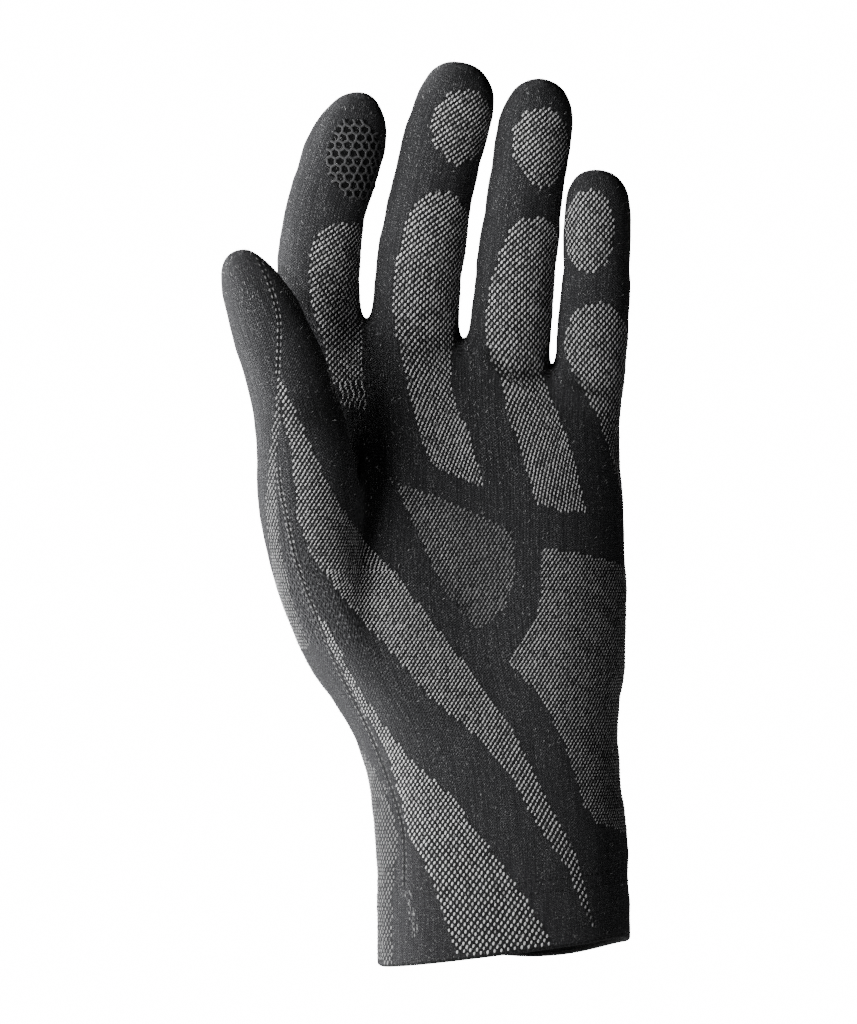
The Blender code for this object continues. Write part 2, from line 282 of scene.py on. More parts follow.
def add_thumb(cage, hole):
    """The thumb's tube, drawn out of the side of the palm."""
    start = sum((cage.points[index] for index in hole), Vector()) / len(hole)
    girth = math.pi * (THUMB_WIDTH + THUMB_DEPTH) / 2.0

    def middle_of(ring):
        return start + Vector((-ring.out, -ring.forward, ring.up)) * THUMB_REACH

    middles = [middle_of(ring) for ring in THUMB_RINGS]
    ways = directions([start] + middles + [middle_of(THUMB_TIP)])[1:-1]
    lower = hole
    foot = 0.0
    for number, (ring, middle, way) in enumerate(zip(THUMB_RINGS, middles, ways)):
        front = Vector((1.0, -1.0, 0.0)).normalized()
        front = (front - way * way.dot(front)).normalized()
        inward = way.cross(front)
        half_front = THUMB_DEPTH * ring.depth / 2.0
        half_inward = THUMB_WIDTH * ring.width / 2.0
        upper = cage.add_points(control_ring(THUMB_POINTS, middle, front, inward, half_front,
                                             half_inward))
        owner = "palm" if number <= THUMB_STALL_RING else "thumb_stall"
        cage.join_rings(lower, upper, owner, girth, foot, THUMB_REACH * ring.up)
        lower = upper
        foot = THUMB_REACH * ring.up
    tip = cage.add_points([middle_of(THUMB_TIP)])[0]
    cage.close_ring(lower, tip, "thumb_stall", girth, foot, THUMB_REACH)


def make_cage():
    """The whole outside of the glove in coarse four-sided faces."""
    cage = Cage()
    breadth, spans = finger_roots()
    columns = []
    for left, right in spans:
        middle = (left + right) / 2.0
        reach = (right - left) / 2.0 * spread(FINGER_POINTS) * math.cos(math.pi / 4.0)
        columns.extend((place / (breadth / 2.0) for place in (middle - reach, middle, middle + reach)))
    sections = [section_ring(section, columns, breadth) for section in SECTIONS]
    rings = [cage.add_points(section) for section in sections]
    count = len(rings[0])
    levels = [CUFF_LENGTH + PALM_LENGTH * level for level in WEB_LEVELS]

    # The knit's own chart: its wales across, from the widest section, and its courses up.
    widest = sections[THUMB_HOLE_SECTIONS[1]]
    wales = [0.0]
    for index in range(count):
        wales.append(wales[-1] + (widest[(index + 1) % count] - widest[index]).length)
    courses = [sum(point.z for point in section) / count for section in sections]
    courses.append(sum(levels) / len(levels))

    # The root row, a loop of eight for each finger.
    shift = breadth * SECTIONS[-1].shift
    loops = []
    roots = []
    for index, (finger, (left, right)) in enumerate(zip(FINGERS, spans)):
        middle = shift + (left + right) / 2.0
        half = finger.width / 2.0 * spread(FINGER_POINTS)
        corner = half * math.cos(math.pi / 4.0)
        deep = finger.width * FINGER_DEPTH_SHARE / 2.0 * spread(FINGER_POINTS)
        corner_deep = deep * math.cos(math.pi / 4.0)
        near = levels[index]
        far = levels[index + 1]
        mean = (near + far) / 2.0
        loop = (
            Vector((middle - corner, -corner_deep, near - WEB_DROP)),
            Vector((middle, -deep, mean - WEB_DROP)),
            Vector((middle + corner, -corner_deep, far - WEB_DROP)),
            Vector((middle + half, 0.0, far)),
            Vector((middle + corner, corner_deep, far - WEB_DROP)),
            Vector((middle, deep, mean - WEB_DROP)),
            Vector((middle - corner, corner_deep, near - WEB_DROP)),
            Vector((middle - half, 0.0, near)),
        )
        loops.append(cage.add_points(loop))
        roots.append(Vector((middle, 0.0, mean)))
    front = [loop[place] for loop in loops for place in (0, 1, 2)]
    back = [loop[place] for loop in reversed(loops) for place in (4, 5, 6)]
    rings.append(front + [loops[-1][3]] + back + [loops[0][7]])

    # The tube of sections, open where the thumb joins.
    hole_low, hole_mid, hole_high = THUMB_HOLE_SECTIONS
    for row in range(len(rings) - 1):
        owner = "palm"
        if row < 1:
            owner = "cuff_hem"
        elif row < 3:
            owner = "wrist_cuff"
        for index in range(count):
            if row in (hole_low, hole_mid) and index in (count - 1, 0, 1):
                continue
            after = (index + 1) % count
            lower = rings[row]
            upper = rings[row + 1]
            chart = ((wales[index], courses[row]), (wales[index + 1], courses[row]),
                     (wales[index + 1], courses[row + 1]), (wales[index], courses[row + 1]))
            cage.add_face((lower[index], lower[after], upper[after], upper[index]), owner, chart)

    # The webs between the fingers.
    web = ((0.0, 0.0), (WEB_WIDTH, 0.0), (WEB_WIDTH, WEB_DROP), (0.0, WEB_DROP))
    for near, far in zip(loops[:-1], loops[1:]):
        cage.add_face((near[2], far[0], far[7], near[3]), "palm", web)
        cage.add_face((near[3], far[7], far[6], near[4]), "palm", web)

    for finger, root, loop in zip(FINGERS, roots, loops):
        add_finger(cage, finger, root, loop)

    side = count - 1
    low = rings[hole_low]
    high = rings[hole_high]
    add_thumb(cage, [low[side], low[0], low[1], low[2], rings[hole_mid][2], high[2], high[1],
                     high[0], high[side], rings[hole_mid][side]])
    return cage


Surface = namedtuple("Surface", "points normals faces owners chart")


def smooth_surface(cage, levels):
    """The cage subdivided on to its smooth surface, with its chart in metres."""
    mesh = bpy.data.meshes.new("form")
    mesh.from_pydata([tuple(point) for point in cage.points], [], cage.faces)
    for name in PIECES:
        mesh.materials.append(bpy.data.materials.new("form_" + name))
    mesh.polygons.foreach_set("material_index", cage.owners)
    chart = mesh.uv_layers.new(name="knit")
    chart.data.foreach_set("uv", np.array(cage.charts, dtype=np.float32).ravel())
    guide = bpy.data.objects.new("form", mesh)
    bpy.context.scene.collection.objects.link(guide)
    smoother = guide.modifiers.new("smooth", "SUBSURF")
    smoother.levels = levels
    smoother.render_levels = levels
    smoother.quality = 5
    smoother.boundary_smooth = "ALL"
    smoother.uv_smooth = "NONE"
    shape = guide.evaluated_get(bpy.context.evaluated_depsgraph_get()).to_mesh()
    points = np.empty(len(shape.vertices) * 3, dtype=np.float32)
    shape.vertices.foreach_get("co", points)
    normals = np.empty(len(shape.vertices) * 3, dtype=np.float32)
    shape.vertices.foreach_get("normal", normals)
    faces = np.empty(len(shape.loops), dtype=np.int32)
    shape.loops.foreach_get("vertex_index", faces)
    owners = np.empty(len(shape.polygons), dtype=np.int32)
    shape.polygons.foreach_get("material_index", owners)
    chart = np.empty(len(shape.loops) * 2, dtype=np.float32)
    shape.uv_layers["knit"].data.foreach_get("uv", chart)
    surface = Surface(points.reshape(-1, 3).astype(float), normals.reshape(-1, 3).astype(float),
                      faces.reshape(-1, 4), owners, chart.reshape(-1, 4, 2))
    bpy.data.objects.remove(guide, do_unlink=True)
    for name in PIECES:
        bpy.data.materials.remove(bpy.data.materials["form_" + name])
    return surface


# The cloth pulls into soft creases where the hand bends: the side, x and z of the ends, and the
# width and depth, in mm.
Crease = namedtuple("Crease", "side start end width depth")
CREASES = (
    Crease(-1, (-42.0, 153.0), (-33.0, 131.0), 6.0, 1.2),
    Crease(-1, (-4.5, 164.0), (2.5, 159.0), 3.2, 1.0),
    Crease(-1, (0.0, 159.3), (13.0, 161.5), 3.2, 1.0),
    Crease(-1, (-26.0, 168.5), (-13.0, 170.5), 3.2, 0.35),
    Crease(-1, (19.0, 155.5), (28.0, 156.0), 3.0, 0.5),
    Crease(-1, (-52.0, 187.0), (-41.0, 186.0), 4.0, 0.4),
    Crease(-1, (-18.0, 213.0), (-6.0, 214.0), 4.5, 0.5),
    Crease(-1, (2.0, 207.0), (14.0, 207.5), 4.5, 0.5),
    Crease(-1, (19.0, 184.0), (30.0, 184.5), 4.0, 0.5),
    Crease(-1, (-47.0, 80.0), (-34.5, 54.0), 2.2, 0.7),
    Crease(-1, (-36.5, 58.0), (-27.9, 32.0), 2.2, 0.7),
    Crease(-1, (-28.6, 37.0), (-27.6, 15.0), 2.2, 0.6),
)
# The knit never lies quite even: long soft waves, in mm.
WAVES = ((31.0, 0.16), (17.0, 0.10), (9.0, 0.05))


def settle(surface):
    """Presses the creases and waves into the smooth form, along its normals."""
    x, y, z = (surface.points * 1000.0).T
    push = np.zeros(len(x))
    for crease in CREASES:
        start = np.array(crease.start)
        run = np.array(crease.end) - start
        spot = np.stack((x, z), axis=1) - start
        along = np.clip(spot @ run / (run @ run), 0.0, 1.0)
        away = np.linalg.norm(spot - along[:, None] * run, axis=1) / crease.width
        taper = np.sin(np.pi * np.clip(along, 0.08, 0.92))
        facing = np.clip(crease.side * surface.normals[:, 1], 0.0, 1.0)
        push -= crease.depth * taper * np.exp(-away * away * 4.0) * facing
    for number, (length, height) in enumerate(WAVES):
        turn = 2.0 * math.pi / length
        push += height * (np.sin(turn * (x + 0.6 * z) + 1.7 * number) * np.sin(turn * 0.8 * (z - 0.4 * y))
                          + 0.6 * np.sin(turn * 1.3 * (z + y) + 2.3 * number))
    points = surface.points + surface.normals * push[:, None] / 1000.0
    return surface._replace(points=points)


GLOVE_CAGE = make_cage()
OUTSIDE = settle(smooth_surface(GLOVE_CAGE, 4))
INSIDE = settle(smooth_surface(GLOVE_CAGE, 3))
SKIN = BVHTree.FromPolygons([tuple(point) for point in OUTSIDE.points], OUTSIDE.faces.tolist())


# The zones of open knit.
# Over the ball of each finger, down the palm and along the thumb the machine lays a second, pale
# grey yarn behind the charcoal one, which shows as slanting dots in a bird's-eye pattern. The
# outlines are in mm across and up the palm, and the brightness of the dots counts that of the
# middle finger's as one.
Zone = namedtuple("Zone", "name bright outline")
PALM_ZONES = (
    Zone("index_run", 0.95, ((-49, 201.5), (-45, 202), (-40, 202), (-39, 191.5), (-39, 180.5),
        (-39.5, 166.5), (-38.5, 155), (-38.5, 149.5), (-42.5, 150.5), (-47, 152), (-48.5, 159.5),
        (-50.5, 169), (-53.5, 180), (-54.5, 185.5), (-54.5, 190), (-53.5, 195), (-52, 199))),
    Zone("middle_tip", 1.0, ((-9.5, 239), (-6.5, 238), (-4, 235), (-3.5, 230), (-5, 225), (-8, 220.5),
        (-12, 217.5), (-15.5, 219), (-19, 223), (-20.5, 227.5), (-20, 231.5), (-18, 235.5),
        (-14.5, 238.5))),
    Zone("middle_run", 1.0, ((-28, 200), (-26.5, 204.5), (-24.5, 208), (-22, 210), (-15, 211),
        (-12, 208.5), (-10, 204.5), (-10, 197), (-11, 187), (-13, 178), (-14, 171), (-14.5, 164),
        (-14.5, 157.5), (-13, 150.5), (-9.5, 143), (-5.5, 128), (-13, 131.5), (-20, 134.5),
        (-23, 141.5), (-26, 152), (-28, 162), (-30, 171), (-31, 178), (-31, 184.5), (-30, 191))),
    Zone("ring_tip", 1.0, ((12, 234), (15, 232), (17.5, 229), (18, 223.5), (17, 218.5), (14.5, 214),
        (11, 211), (7, 213.5), (3.5, 217.5), (2, 223), (2.5, 228), (5.5, 232.5), (8.5, 233.5))),
    Zone("ring_run", 1.0, ((0.5, 198), (1.5, 201), (5, 203), (10, 203.5), (13, 202.5), (15, 199),
        (15, 191), (15, 184.5), (13.5, 175.5), (12, 166.5), (10.5, 160), (14.5, 150.5), (19, 138.5),
        (23, 121.5), (16.5, 121.5), (9, 124), (5.5, 135), (3, 143), (0.5, 150.5), (-1, 158.5),
        (-4, 165), (-5, 171), (-5, 178), (-3.5, 187), (-1, 194.5))),
    Zone("little_tip", 0.9, ((20.5, 210.5), (24.5, 211.5), (28, 210), (30, 206), (31, 201.5),
        (30.5, 195.5), (28.5, 190.5), (24.5, 188), (20, 189.5), (17.5, 194), (17, 200), (17.5, 205.5))),
    Zone("little_run", 0.9, ((18, 174), (20, 178), (23, 179.5), (27.5, 180), (31, 179), (34, 174.5),
        (36, 163.5), (36.5, 146.5), (36, 130), (34, 119.5), (33, 126.5), (30.5, 135.5), (27.5, 144),
        (25.5, 149.5), (22, 155.5), (19, 161.5), (17, 166.5), (17, 170))),
    Zone("tongue_edge", 0.22, ((-40.5, 139), (-35.5, 134.5), (-30, 129.5), (-25, 128), (-22.5, 121),
        (-18, 111), (-13, 100), (-8, 92), (-10, 91.5), (-17.5, 101.5), (-24, 115.5), (-27, 122.5),
        (-30, 129), (-35.5, 133.5))),
    Zone("heel_tongue", 0.35, ((-40.5, 139), (-35.5, 134.5), (-30, 129.5), (-18, 125.5), (-7.5, 121),
        (2, 116), (3, 110.5), (3, 103.5), (0, 95), (-3.5, 91.5), (-7, 89), (-10, 91.5), (-17.5, 101.5),
        (-24, 115.5), (-27, 122.5), (-30, 129), (-35.5, 133.5))),
    Zone("outer_heel", 0.85, ((10.5, 111.5), (22, 110), (35, 106.5), (36, 90.5), (36, 68.5),
        (35.5, 51.5), (35, 32), (34, 32), (29.5, 34), (25.5, 35), (22, 40.5), (17.5, 55), (11, 69),
        (5.5, 75.5), (1, 80), (3.5, 84.5), (6.5, 88), (9, 93.5), (10.5, 99))),
    Zone("thumb_band", 0.95, ((-62, 159), (-55, 144), (-48.5, 129), (-43.5, 121), (-38.5, 113),
        (-30, 104.5), (-24, 96.5), (-17.5, 88), (-8, 76), (2, 61.5), (6.5, 53), (12, 41.5),
        (19.5, 27.5), (22.5, 16.5), (25, 5.5), (20.5, 15), (17.5, 23), (9, 35), (2, 48), (-3.5, 55),
        (-10, 61.5), (-22, 71.5), (-30, 81.5), (-38, 90), (-45.5, 99), (-50, 105.5), (-54, 111),
        (-57, 120), (-57.5, 126.5), (-58.5, 138), (-61, 147))),
    Zone("side_band", 0.5, ((-62, 159), (-63, 151), (-64, 142.5), (-65, 133.5), (-66, 123),
        (-65, 112.5), (-63.5, 101), (-60, 90.5), (-56.5, 82.5), (-54, 84.5), (-57.5, 92), (-59.5, 101),
        (-62, 112.5), (-63, 126.5), (-62.5, 138), (-61.5, 148))),
    Zone("seam_band", 1.5, ((-51.5, 92.5), (-48.5, 90), (-41, 73.5), (-32, 60.5), (-24.5, 51.5),
        (-15.5, 44), (-8, 34), (0, 23), (6.5, 14), (13, 3), (12.5, -0.5), (-13.5, -1), (-13.5, 0.5),
        (-16.5, 9), (-20, 19.5), (-26.5, 32), (-29, 42.5), (-32, 53), (-39, 66), (-48.5, 84.5))),
    Zone("thumb_tip", 0.34, ((-66.0, 191.5), (-62.0, 190.5), (-58.5, 187.5), (-54.5, 182.0),
        (-52.5, 176.0), (-57.0, 177.0), (-60.8, 183.0), (-64.0, 188.0))),
    Zone("cuff_side", 0.34, ((-45, 62), (-39.5, 55), (-33, 45), (-29.5, 32.5), (-30, 26), (-31, 15),
        (-31, -4), (-40, -4), (-40, 40))),
)


def ribbon(line):
    """The outline of a stripe along a line of x, z and width."""
    left = []
    right = []
    for number, (x, z, width) in enumerate(line):
        before = line[max(number - 1, 0)]
        after = line[min(number + 1, len(line) - 1)]
        length = math.hypot(after[0] - before[0], after[1] - before[1])
        across = ((after[1] - before[1]) / length, (before[0] - after[0]) / length)
        left.append((x - across[0] * width / 2.0, z - across[1] * width / 2.0))
        right.append((x + across[0] * width / 2.0, z + across[1] * width / 2.0))
    return tuple(left + right[::-1])


# On the back the same yarn shows as narrow stripes that follow the middle and index fingers.
BACK_ZONES = (
    Zone("middle_stripe", 0.95, ribbon(((-10, 239, 3.5), (-13, 228, 7), (-18, 210, 8.5), (-21, 190, 9),
        (-23, 170, 8.5), (-25.5, 153, 8)))),
    Zone("middle_edge", 0.75, ribbon(((-19, 239, 2.5), (-25, 226, 4.5), (-29.5, 208, 5.5),
        (-31.5, 190, 6), (-33.5, 172, 6.5), (-38, 156, 7)))),
    Zone("index_stripe", 0.95, ribbon(((-43, 230, 3.5), (-47.5, 219, 6.5), (-51, 205, 8.5),
        (-53, 190, 9.5), (-54, 175, 9.5), (-56, 158, 9), (-57.5, 150, 8.5)))),
    Zone("hand_stripe", 0.9, ribbon(((-25, 156, 8), (-27.5, 142, 8), (-30, 128, 8), (-30, 114, 8),
        (-28, 102, 8), (-26.5, 94, 8), (-26, 89, 7)))),
    Zone("hand_foot", 0.8, ribbon(((-23, 89, 6.5), (-30, 87, 7), (-37, 87.5, 6.5), (-44, 90, 6),
        (-50, 93.5, 6), (-58, 99, 6)))),
    Zone("web_stripe", 0.85, ribbon(((-37.5, 158, 7), (-40, 146, 7), (-41.5, 134, 7.5),
        (-42.5, 124, 7.5), (-43.5, 119, 7)))),
    Zone("web_foot", 0.85, ribbon(((-41, 119.5, 7), (-47, 116.5, 7), (-53, 117.5, 7),
        (-57.5, 120.5, 6)))),
    Zone("web_end", 0.85, ribbon(((-56.5, 152, 7.5), (-56.5, 140, 7), (-56, 128, 6.5),
        (-55, 120, 6.5)))),
    Zone("cuff_stripe", 0.8, ribbon(((-58, 82, 5), (-50, 73.5, 6), (-42, 65, 6.5), (-36.5, 56, 7),
        (-32.5, 45, 6.5), (-29.5, 33.5, 5.5), (-26.5, 21.5, 4), (-25.5, 13, 2.6), (-25, 4.5, 1.8),
        (-25, -3.5, 1.6)))),
    Zone("cuff_corner", 0.7, ribbon(((-34.5, 12, 2.4), (-34, 4, 3.2), (-33.5, -4, 3.2)))),
    Zone("outer_back", 0.34, ((36, 101), (31, 100), (29, 86), (30, 70), (33, 57), (36, 56))),
)

# Where the dots run: up a line of x and z, with the pitch across and between rows there, and how
# far out to each side, in mm. A run that is named after a piece stays on it, and the back's runs
# stay off the thumb.
Run = namedtuple("Run", "name side reach line zones")
RUNS = (
    Run("index", -1, 16.0, ((-45, 140, 1.35, 0.87), (-47.5, 170, 1.62, 0.87),
        (-40, 210, 1.6, 0.87)), ("index_run",)),
    Run("middle", -1, 17.0, ((-13, 125, 1.18, 0.87), (-18, 148, 1.22, 0.87), (-21.5, 172, 1.7, 0.87),
        (-19, 200, 1.72, 0.87), (-10, 242, 1.5, 0.87)), ("middle_tip", "middle_run")),
    Run("ring", -1, 16.0, ((18, 118, 1.18, 0.87), (9, 142, 1.22, 0.87), (4.5, 168, 1.68, 0.87),
        (5, 200, 1.68, 0.87), (10, 238, 1.5, 0.87)), ("ring_tip", "ring_run")),
    Run("little", -1, 15.0, ((34, 118, 1.18, 0.87), (28.5, 142, 1.3, 0.87), (26, 165, 1.6, 0.87),
        (24, 214, 1.5, 0.87)), ("little_tip", "little_run")),
    Run("heel", -1, 40.0, ((-12, 86, 1.12, 0.88),
        (-15, 142, 1.15, 0.88)), ("tongue_edge", "heel_tongue")),
    Run("outer", -1, 34.0, ((20, 30, 1.12, 0.88), (20, 114, 1.15, 0.88)), ("outer_heel",)),
    Run("hand", -1, 75.0, ((0, -6, 1.95, 1.08), (-4, 25, 1.65, 1.0), (-6, 50, 1.35, 0.92),
        (-7, 75, 1.15, 0.88),
        (-7, 105, 1.12, 0.88)), ("thumb_band", "side_band", "seam_band", "cuff_side")),
    Run("thenar", -1, 26.0, ((-50, 105.5, 1.12, 0.88), (-50, 135, 1.25, 0.95),
        (-51, 168, 1.45, 1.02)), ("thumb_band", "side_band")),
    Run("thumb_stall", -1, 16.0, ((-62, 172, 1.1, 0.8), (-65, 195, 1.1, 0.8)), ("thumb_tip",)),
)
BACK_RUNS = (
    Run("back_middle", 1, 17.0, ((-26, 154, 1.45, 0.88), (-22, 180, 1.6, 0.87), (-18, 210, 1.6, 0.87),
        (-10, 242, 1.5, 0.87)), ("middle_stripe", "middle_edge")),
    Run("back_index", 1, 15.0, ((-52, 150, 1.45, 0.88), (-52, 180, 1.6, 0.87), (-49, 205, 1.6, 0.87),
        (-40, 235, 1.5, 0.87)), ("index_stripe",)),
    Run("back_hand", 1, 40.0, ((-36, 80, 1.3, 0.88), (-36, 158, 1.45, 0.88)), ('hand_stripe',
        'hand_foot', 'web_stripe', 'web_foot', 'web_end')),
    Run("back_cuff", 1, 75.0, ((-10, -6, 1.3, 0.9),
        (-10, 104, 1.2, 0.88)), ("cuff_stripe", "cuff_corner", "outer_back")),
)

Stitch = namedtuple("Stitch", "place normal up owner size bright lean")


def inside(outline, x, z):
    """Whether a spot lies within an outline."""
    odd = False
    for (x1, z1), (x2, z2) in zip(outline, outline[1:] + outline[:1]):
        if (z1 > z) != (z2 > z) and x < x1 + (z - z1) * (x2 - x1) / (z2 - z1):
            odd = not odd
    return odd


def within(outline, x, z):
    """Which of many spots lie within an outline."""
    outline = np.array(outline, dtype=float)
    odd = np.zeros(len(x), dtype=bool)
    for (x1, z1), (x2, z2) in zip(outline, np.roll(outline, -1, axis=0)):
        if z1 == z2:
            continue
        crossed = (z1 > z) != (z2 > z)
        odd ^= crossed & (x < x1 + (z - z1) * (x2 - x1) / (z2 - z1))
    return odd


def distance_to(line, x, z):
    """How far many spots lie from a line, all in mm."""
    near = np.full(len(x), 1000.0)
    for (x1, z1), (x2, z2) in zip(line, line[1:]):
        length = math.hypot(x2 - x1, z2 - z1)
        along = ((x - x1) * (x2 - x1) + (z - z1) * (z2 - z1)) / length
        share = np.clip(along / length, 0.0, 1.0)
        near = np.minimum(near, np.hypot(x - x1 - share * (x2 - x1), z - z1 - share * (z2 - z1)))
    return near


def cast(x, z, side):
    """The knit's surface at a spot in mm, seen from the palm's side or the back."""
    place, normal, face, _ = SKIN.ray_cast(Vector((x / 1000.0, side * 0.3, z / 1000.0)),
                                           Vector((0.0, -side, 0.0)))
    return place, normal, face


def along_line(line):
    """Evenly spaced spots up a smooth line, each with the way it runs and the pitch there."""
    line = [np.array(point, dtype=float) for point in line]
    before = [2.0 * line[0] - line[1]] + line[:-1]
    after = line[1:] + [2.0 * line[-1] - line[-2]]
    beyond = line[2:] + [2.0 * line[-1] - line[-2]]
    fine = []
    for p0, p1, p2, p3 in zip(before, line, after[:-1], beyond):
        for share in np.linspace(0.0, 1.0, 40, endpoint=False):
            fine.append(0.5 * (2.0 * p1 + (p2 - p0) * share
                               + (2.0 * p0 - 5.0 * p1 + 4.0 * p2 - p3) * share ** 2
                               + (3.0 * p1 - p0 - 3.0 * p2 + p3) * share ** 3))
    fine.append(line[-1])
    spots = []
    left = 0.0
    for here, there in zip(fine, fine[1:]):
        run = there - here
        length = math.hypot(run[0], run[1])
        way = (run[0] / length, run[1] / length)
        while left < length:
            spot = here + run * (left / length)
            spots.append((spot[0], spot[1], way, spot[2]))
            left += spot[3]
        left -= length
    return spots


# A step further than this, in metres, is from one part of the hand to another behind it.
JUMP = 0.003
ROW_STEP_MM = 0.1
# Knit that faces this little towards its side is left to the other side's rows.
GRAZING = 0.02
RANDOM = np.random.default_rng(7)


def lay_run(run, zones, stitches):
    """Walks each course outwards from the run's line and leaves a dot at every second wale."""
    own = [zone for zone in zones if zone.name in run.zones]
    for row, (x, z, way, pitch) in enumerate(along_line(run.line)):
        across = (way[1], -way[0])
        for hand in (-1.0, 1.0):
            last = cast(x, z, run.side)[0]
            if last is None:
                continue
            gone = 0.0
            goal = pitch * (0.5 if row % 2 else 0.0)
            if hand > 0.0 and goal == 0.0:
                goal = pitch
            for number in range(int(run.reach / ROW_STEP_MM) + 1):
                spot = (x + hand * across[0] * ROW_STEP_MM * number,
                        z + hand * across[1] * ROW_STEP_MM * number)
                place, normal, face = cast(spot[0], spot[1], run.side)
                if place is None:
                    continue
                if (place - last).length < JUMP:
                    gone += (place - last).length * 1000.0
                last = place
                if gone < goal:
                    continue
                goal += pitch
                if normal.y * run.side < GRAZING:
                    continue
                owner = PIECES[OUTSIDE.owners[face]]
                if run.name in PIECES and owner != run.name:
                    continue
                if run.side > 0.0 and owner == "thumb_stall":
                    continue
                for zone in own:
                    if inside(zone.outline, spot[0], spot[1]):
                        up = Vector((way[0], 0.0, way[1]))
                        stitches.append(Stitch(place, normal, up, owner, pitch, zone.bright, -run.side))
                        break


STITCHES = []
for run in RUNS:
    lay_run(run, PALM_ZONES, STITCHES)
for run in BACK_RUNS:
    lay_run(run, BACK_ZONES, STITCHES)


# Painted shade where a finger bends into the palm: the dots and the ground are darkened along a
# line in mm, with the fold's breadth and how much it darkens. Round the thumb's root, in the
# thumb's shadow, the dots get painted light instead, which is a figure under nought.
PaintedFoldMark = namedtuple("PaintedFoldMark", "breadth dark line")
PAINTED_FOLD_SHADE_AND_LIGHT = (
    PaintedFoldMark(2.0, 0.6, ((-4.5, 165.0), (-1.0, 161.5), (3.0, 159.2), (8.0, 159.2), (12.0, 161.0))),
    PaintedFoldMark(2.0, 0.35, ((-15.0, 168.0), (-21.0, 166.0), (-26.5, 166.5))),
    PaintedFoldMark(7.0, 0.6, ((-52.0, 149.0), (-38.0, 148.5))),
    PaintedFoldMark(1.6, 0.5, ((18.5, 157.5), (23.0, 155.0), (29.0, 155.0))),
    PaintedFoldMark(6.0, -0.7, ((-32.5, 108.0), (-41.0, 97.0))),
    PaintedFoldMark(7.0, -1.5, ((-39.0, 137.0), (-31.0, 131.0), (-25.0, 121.0), (-20.0, 110.0))),
)


def painted_fold_shade_and_light(place, normal):
    """How bright a dot is painted at a spot: darker near the palm's folds as painted shade, lighter in the
    thumb's shadow as painted light.
    """
    left = 1.0
    if normal.y > 0.0:
        return left
    spot = (np.array((place.x * 1000.0,)), np.array((place.z * 1000.0,)))
    for painted_mark in PAINTED_FOLD_SHADE_AND_LIGHT:
        away = distance_to(painted_mark.line, spot[0], spot[1])[0] / painted_mark.breadth
        left *= 1.0 - painted_mark.dark * math.exp(-away * away)
    return left


# The side seam.
# A line of paired tucks in the pale yarn runs down the thumb and on down the side of the hand to
# the cuff, in a shallow groove, and single tucks run down the outer edge of the back. It ends at
# the cuff in a few loose pale floats. Lines in mm across and up the hand, a gap between two rows,
# and how far the tucks stray.
Seam = namedtuple("Seam", "side gap pitch bright stray line")
SEAMS = (
    Seam(-1, 0.95, 1.9, 0.5, 0.0, ((-67.5, 191.0), (-64.5, 184.0), (-61.8, 174.0), (-62.2, 158.8))),
    Seam(-1, 0.95, 1.7, 0.42, 0.0, ((-62.2, 133.3), (-61.3, 126.3), (-56.6, 105.3), (-51.5, 91.6),
        (-45.6, 77.0), (-39.2, 64.1), (-35.6, 56.0))),
    Seam(-1, 0.95, 1.7, 0.22, 0.0, ((-35.6, 56.0), (-31.1, 44.0), (-28.3, 34.7), (-27.7, 28.0),
        (-27.7, 17.9))),
    Seam(-1, 0.7, 0.8, 0.5, 0.55, ((-26.8, 16.0), (-25.5, 9.0), (-24.4, 3.9))),
    Seam(1, 0.0, 1.5, 0.4, 0.0, ((27.0, 106.5), (20.0, 65.5), (20.5, 52.5), (23.0, 36.0),
        (28.5, 14.0))),
)
GROOVES = tuple(seam for seam in SEAMS if seam.gap > 0.9)
TUCK_SIZE = 1.25


def lay_seam(seam, stitches):
    """Leaves the tucks of one seam along its line, in pairs or singly."""
    line = [(x, z, seam.pitch, seam.pitch) for x, z in seam.line]
    for x, z, way, pitch in along_line(line):
        for hand in ((-0.5, 0.5) if seam.gap else (0.0,)):
            across = hand * seam.gap
            stray = seam.stray * RANDOM.uniform(-1.0, 1.0)
            place, normal, face = cast(x + across * way[1] + stray, z - across * way[0] + stray / 2.0,
                                       seam.side)
            if place is None or normal.y * seam.side < GRAZING:
                continue
            up = Vector((way[0], 0.0, way[1]))
            bright = seam.bright * (1.0 - seam.stray * RANDOM.uniform(0.0, 1.6))
            stitches.append(Stitch(place, normal, up, PIECES[OUTSIDE.owners[face]], TUCK_SIZE, bright, 0.0))


for seam in SEAMS:
    lay_seam(seam, STITCHES)


# The touch net.
# The ball of the index finger has a net of open loops, so that the conductive yarn behind it can
# reach a screen: soft hexagons of charcoal cord over a dark ground. Its outline in mm across and
# up the palm, with the pitch of its holes across and up.
Net = namedtuple("Net", "name column row bright ground outline")
NETS = (
    Net("index", 2.5, 2.2, 0.06, 0.1, ((-43.5, 231.0), (-38.5, 230.5), (-35.0, 226.0), (-33.5, 219.0),
        (-34.5, 212.0), (-38.0, 208.0), (-43.0, 209.0), (-47.5, 213.0), (-49.5, 218.5), (-48.5, 224.5),
        (-46.5, 228.5))),
)
CORD_STEPS = 4
CORD_SIDES = 6
CORD_HALF_WIDTH = 0.00038
CORD_HALF_HEIGHT = 0.00022
CORD_LIFT = 0.00010


def lay_in_scene(name, mesh, material):
    """Puts one piece of knit or yarn in the scene, as part of the glove."""
    mesh.materials.append(material)
    piece = bpy.data.objects.new(name, mesh)
    bpy.context.scene.collection.objects.link(piece)
    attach(piece, "root")
    return piece


def toned_mesh(name, points, faces, tones):
    """A mesh of yarn with its own brightness at each point."""
    mesh = bpy.data.meshes.new(name)
    mesh.from_pydata([tuple(point) for point in points], [], faces)
    mesh.attributes.new("tone", "FLOAT", "POINT").data.foreach_set("value", tones)
    return mesh


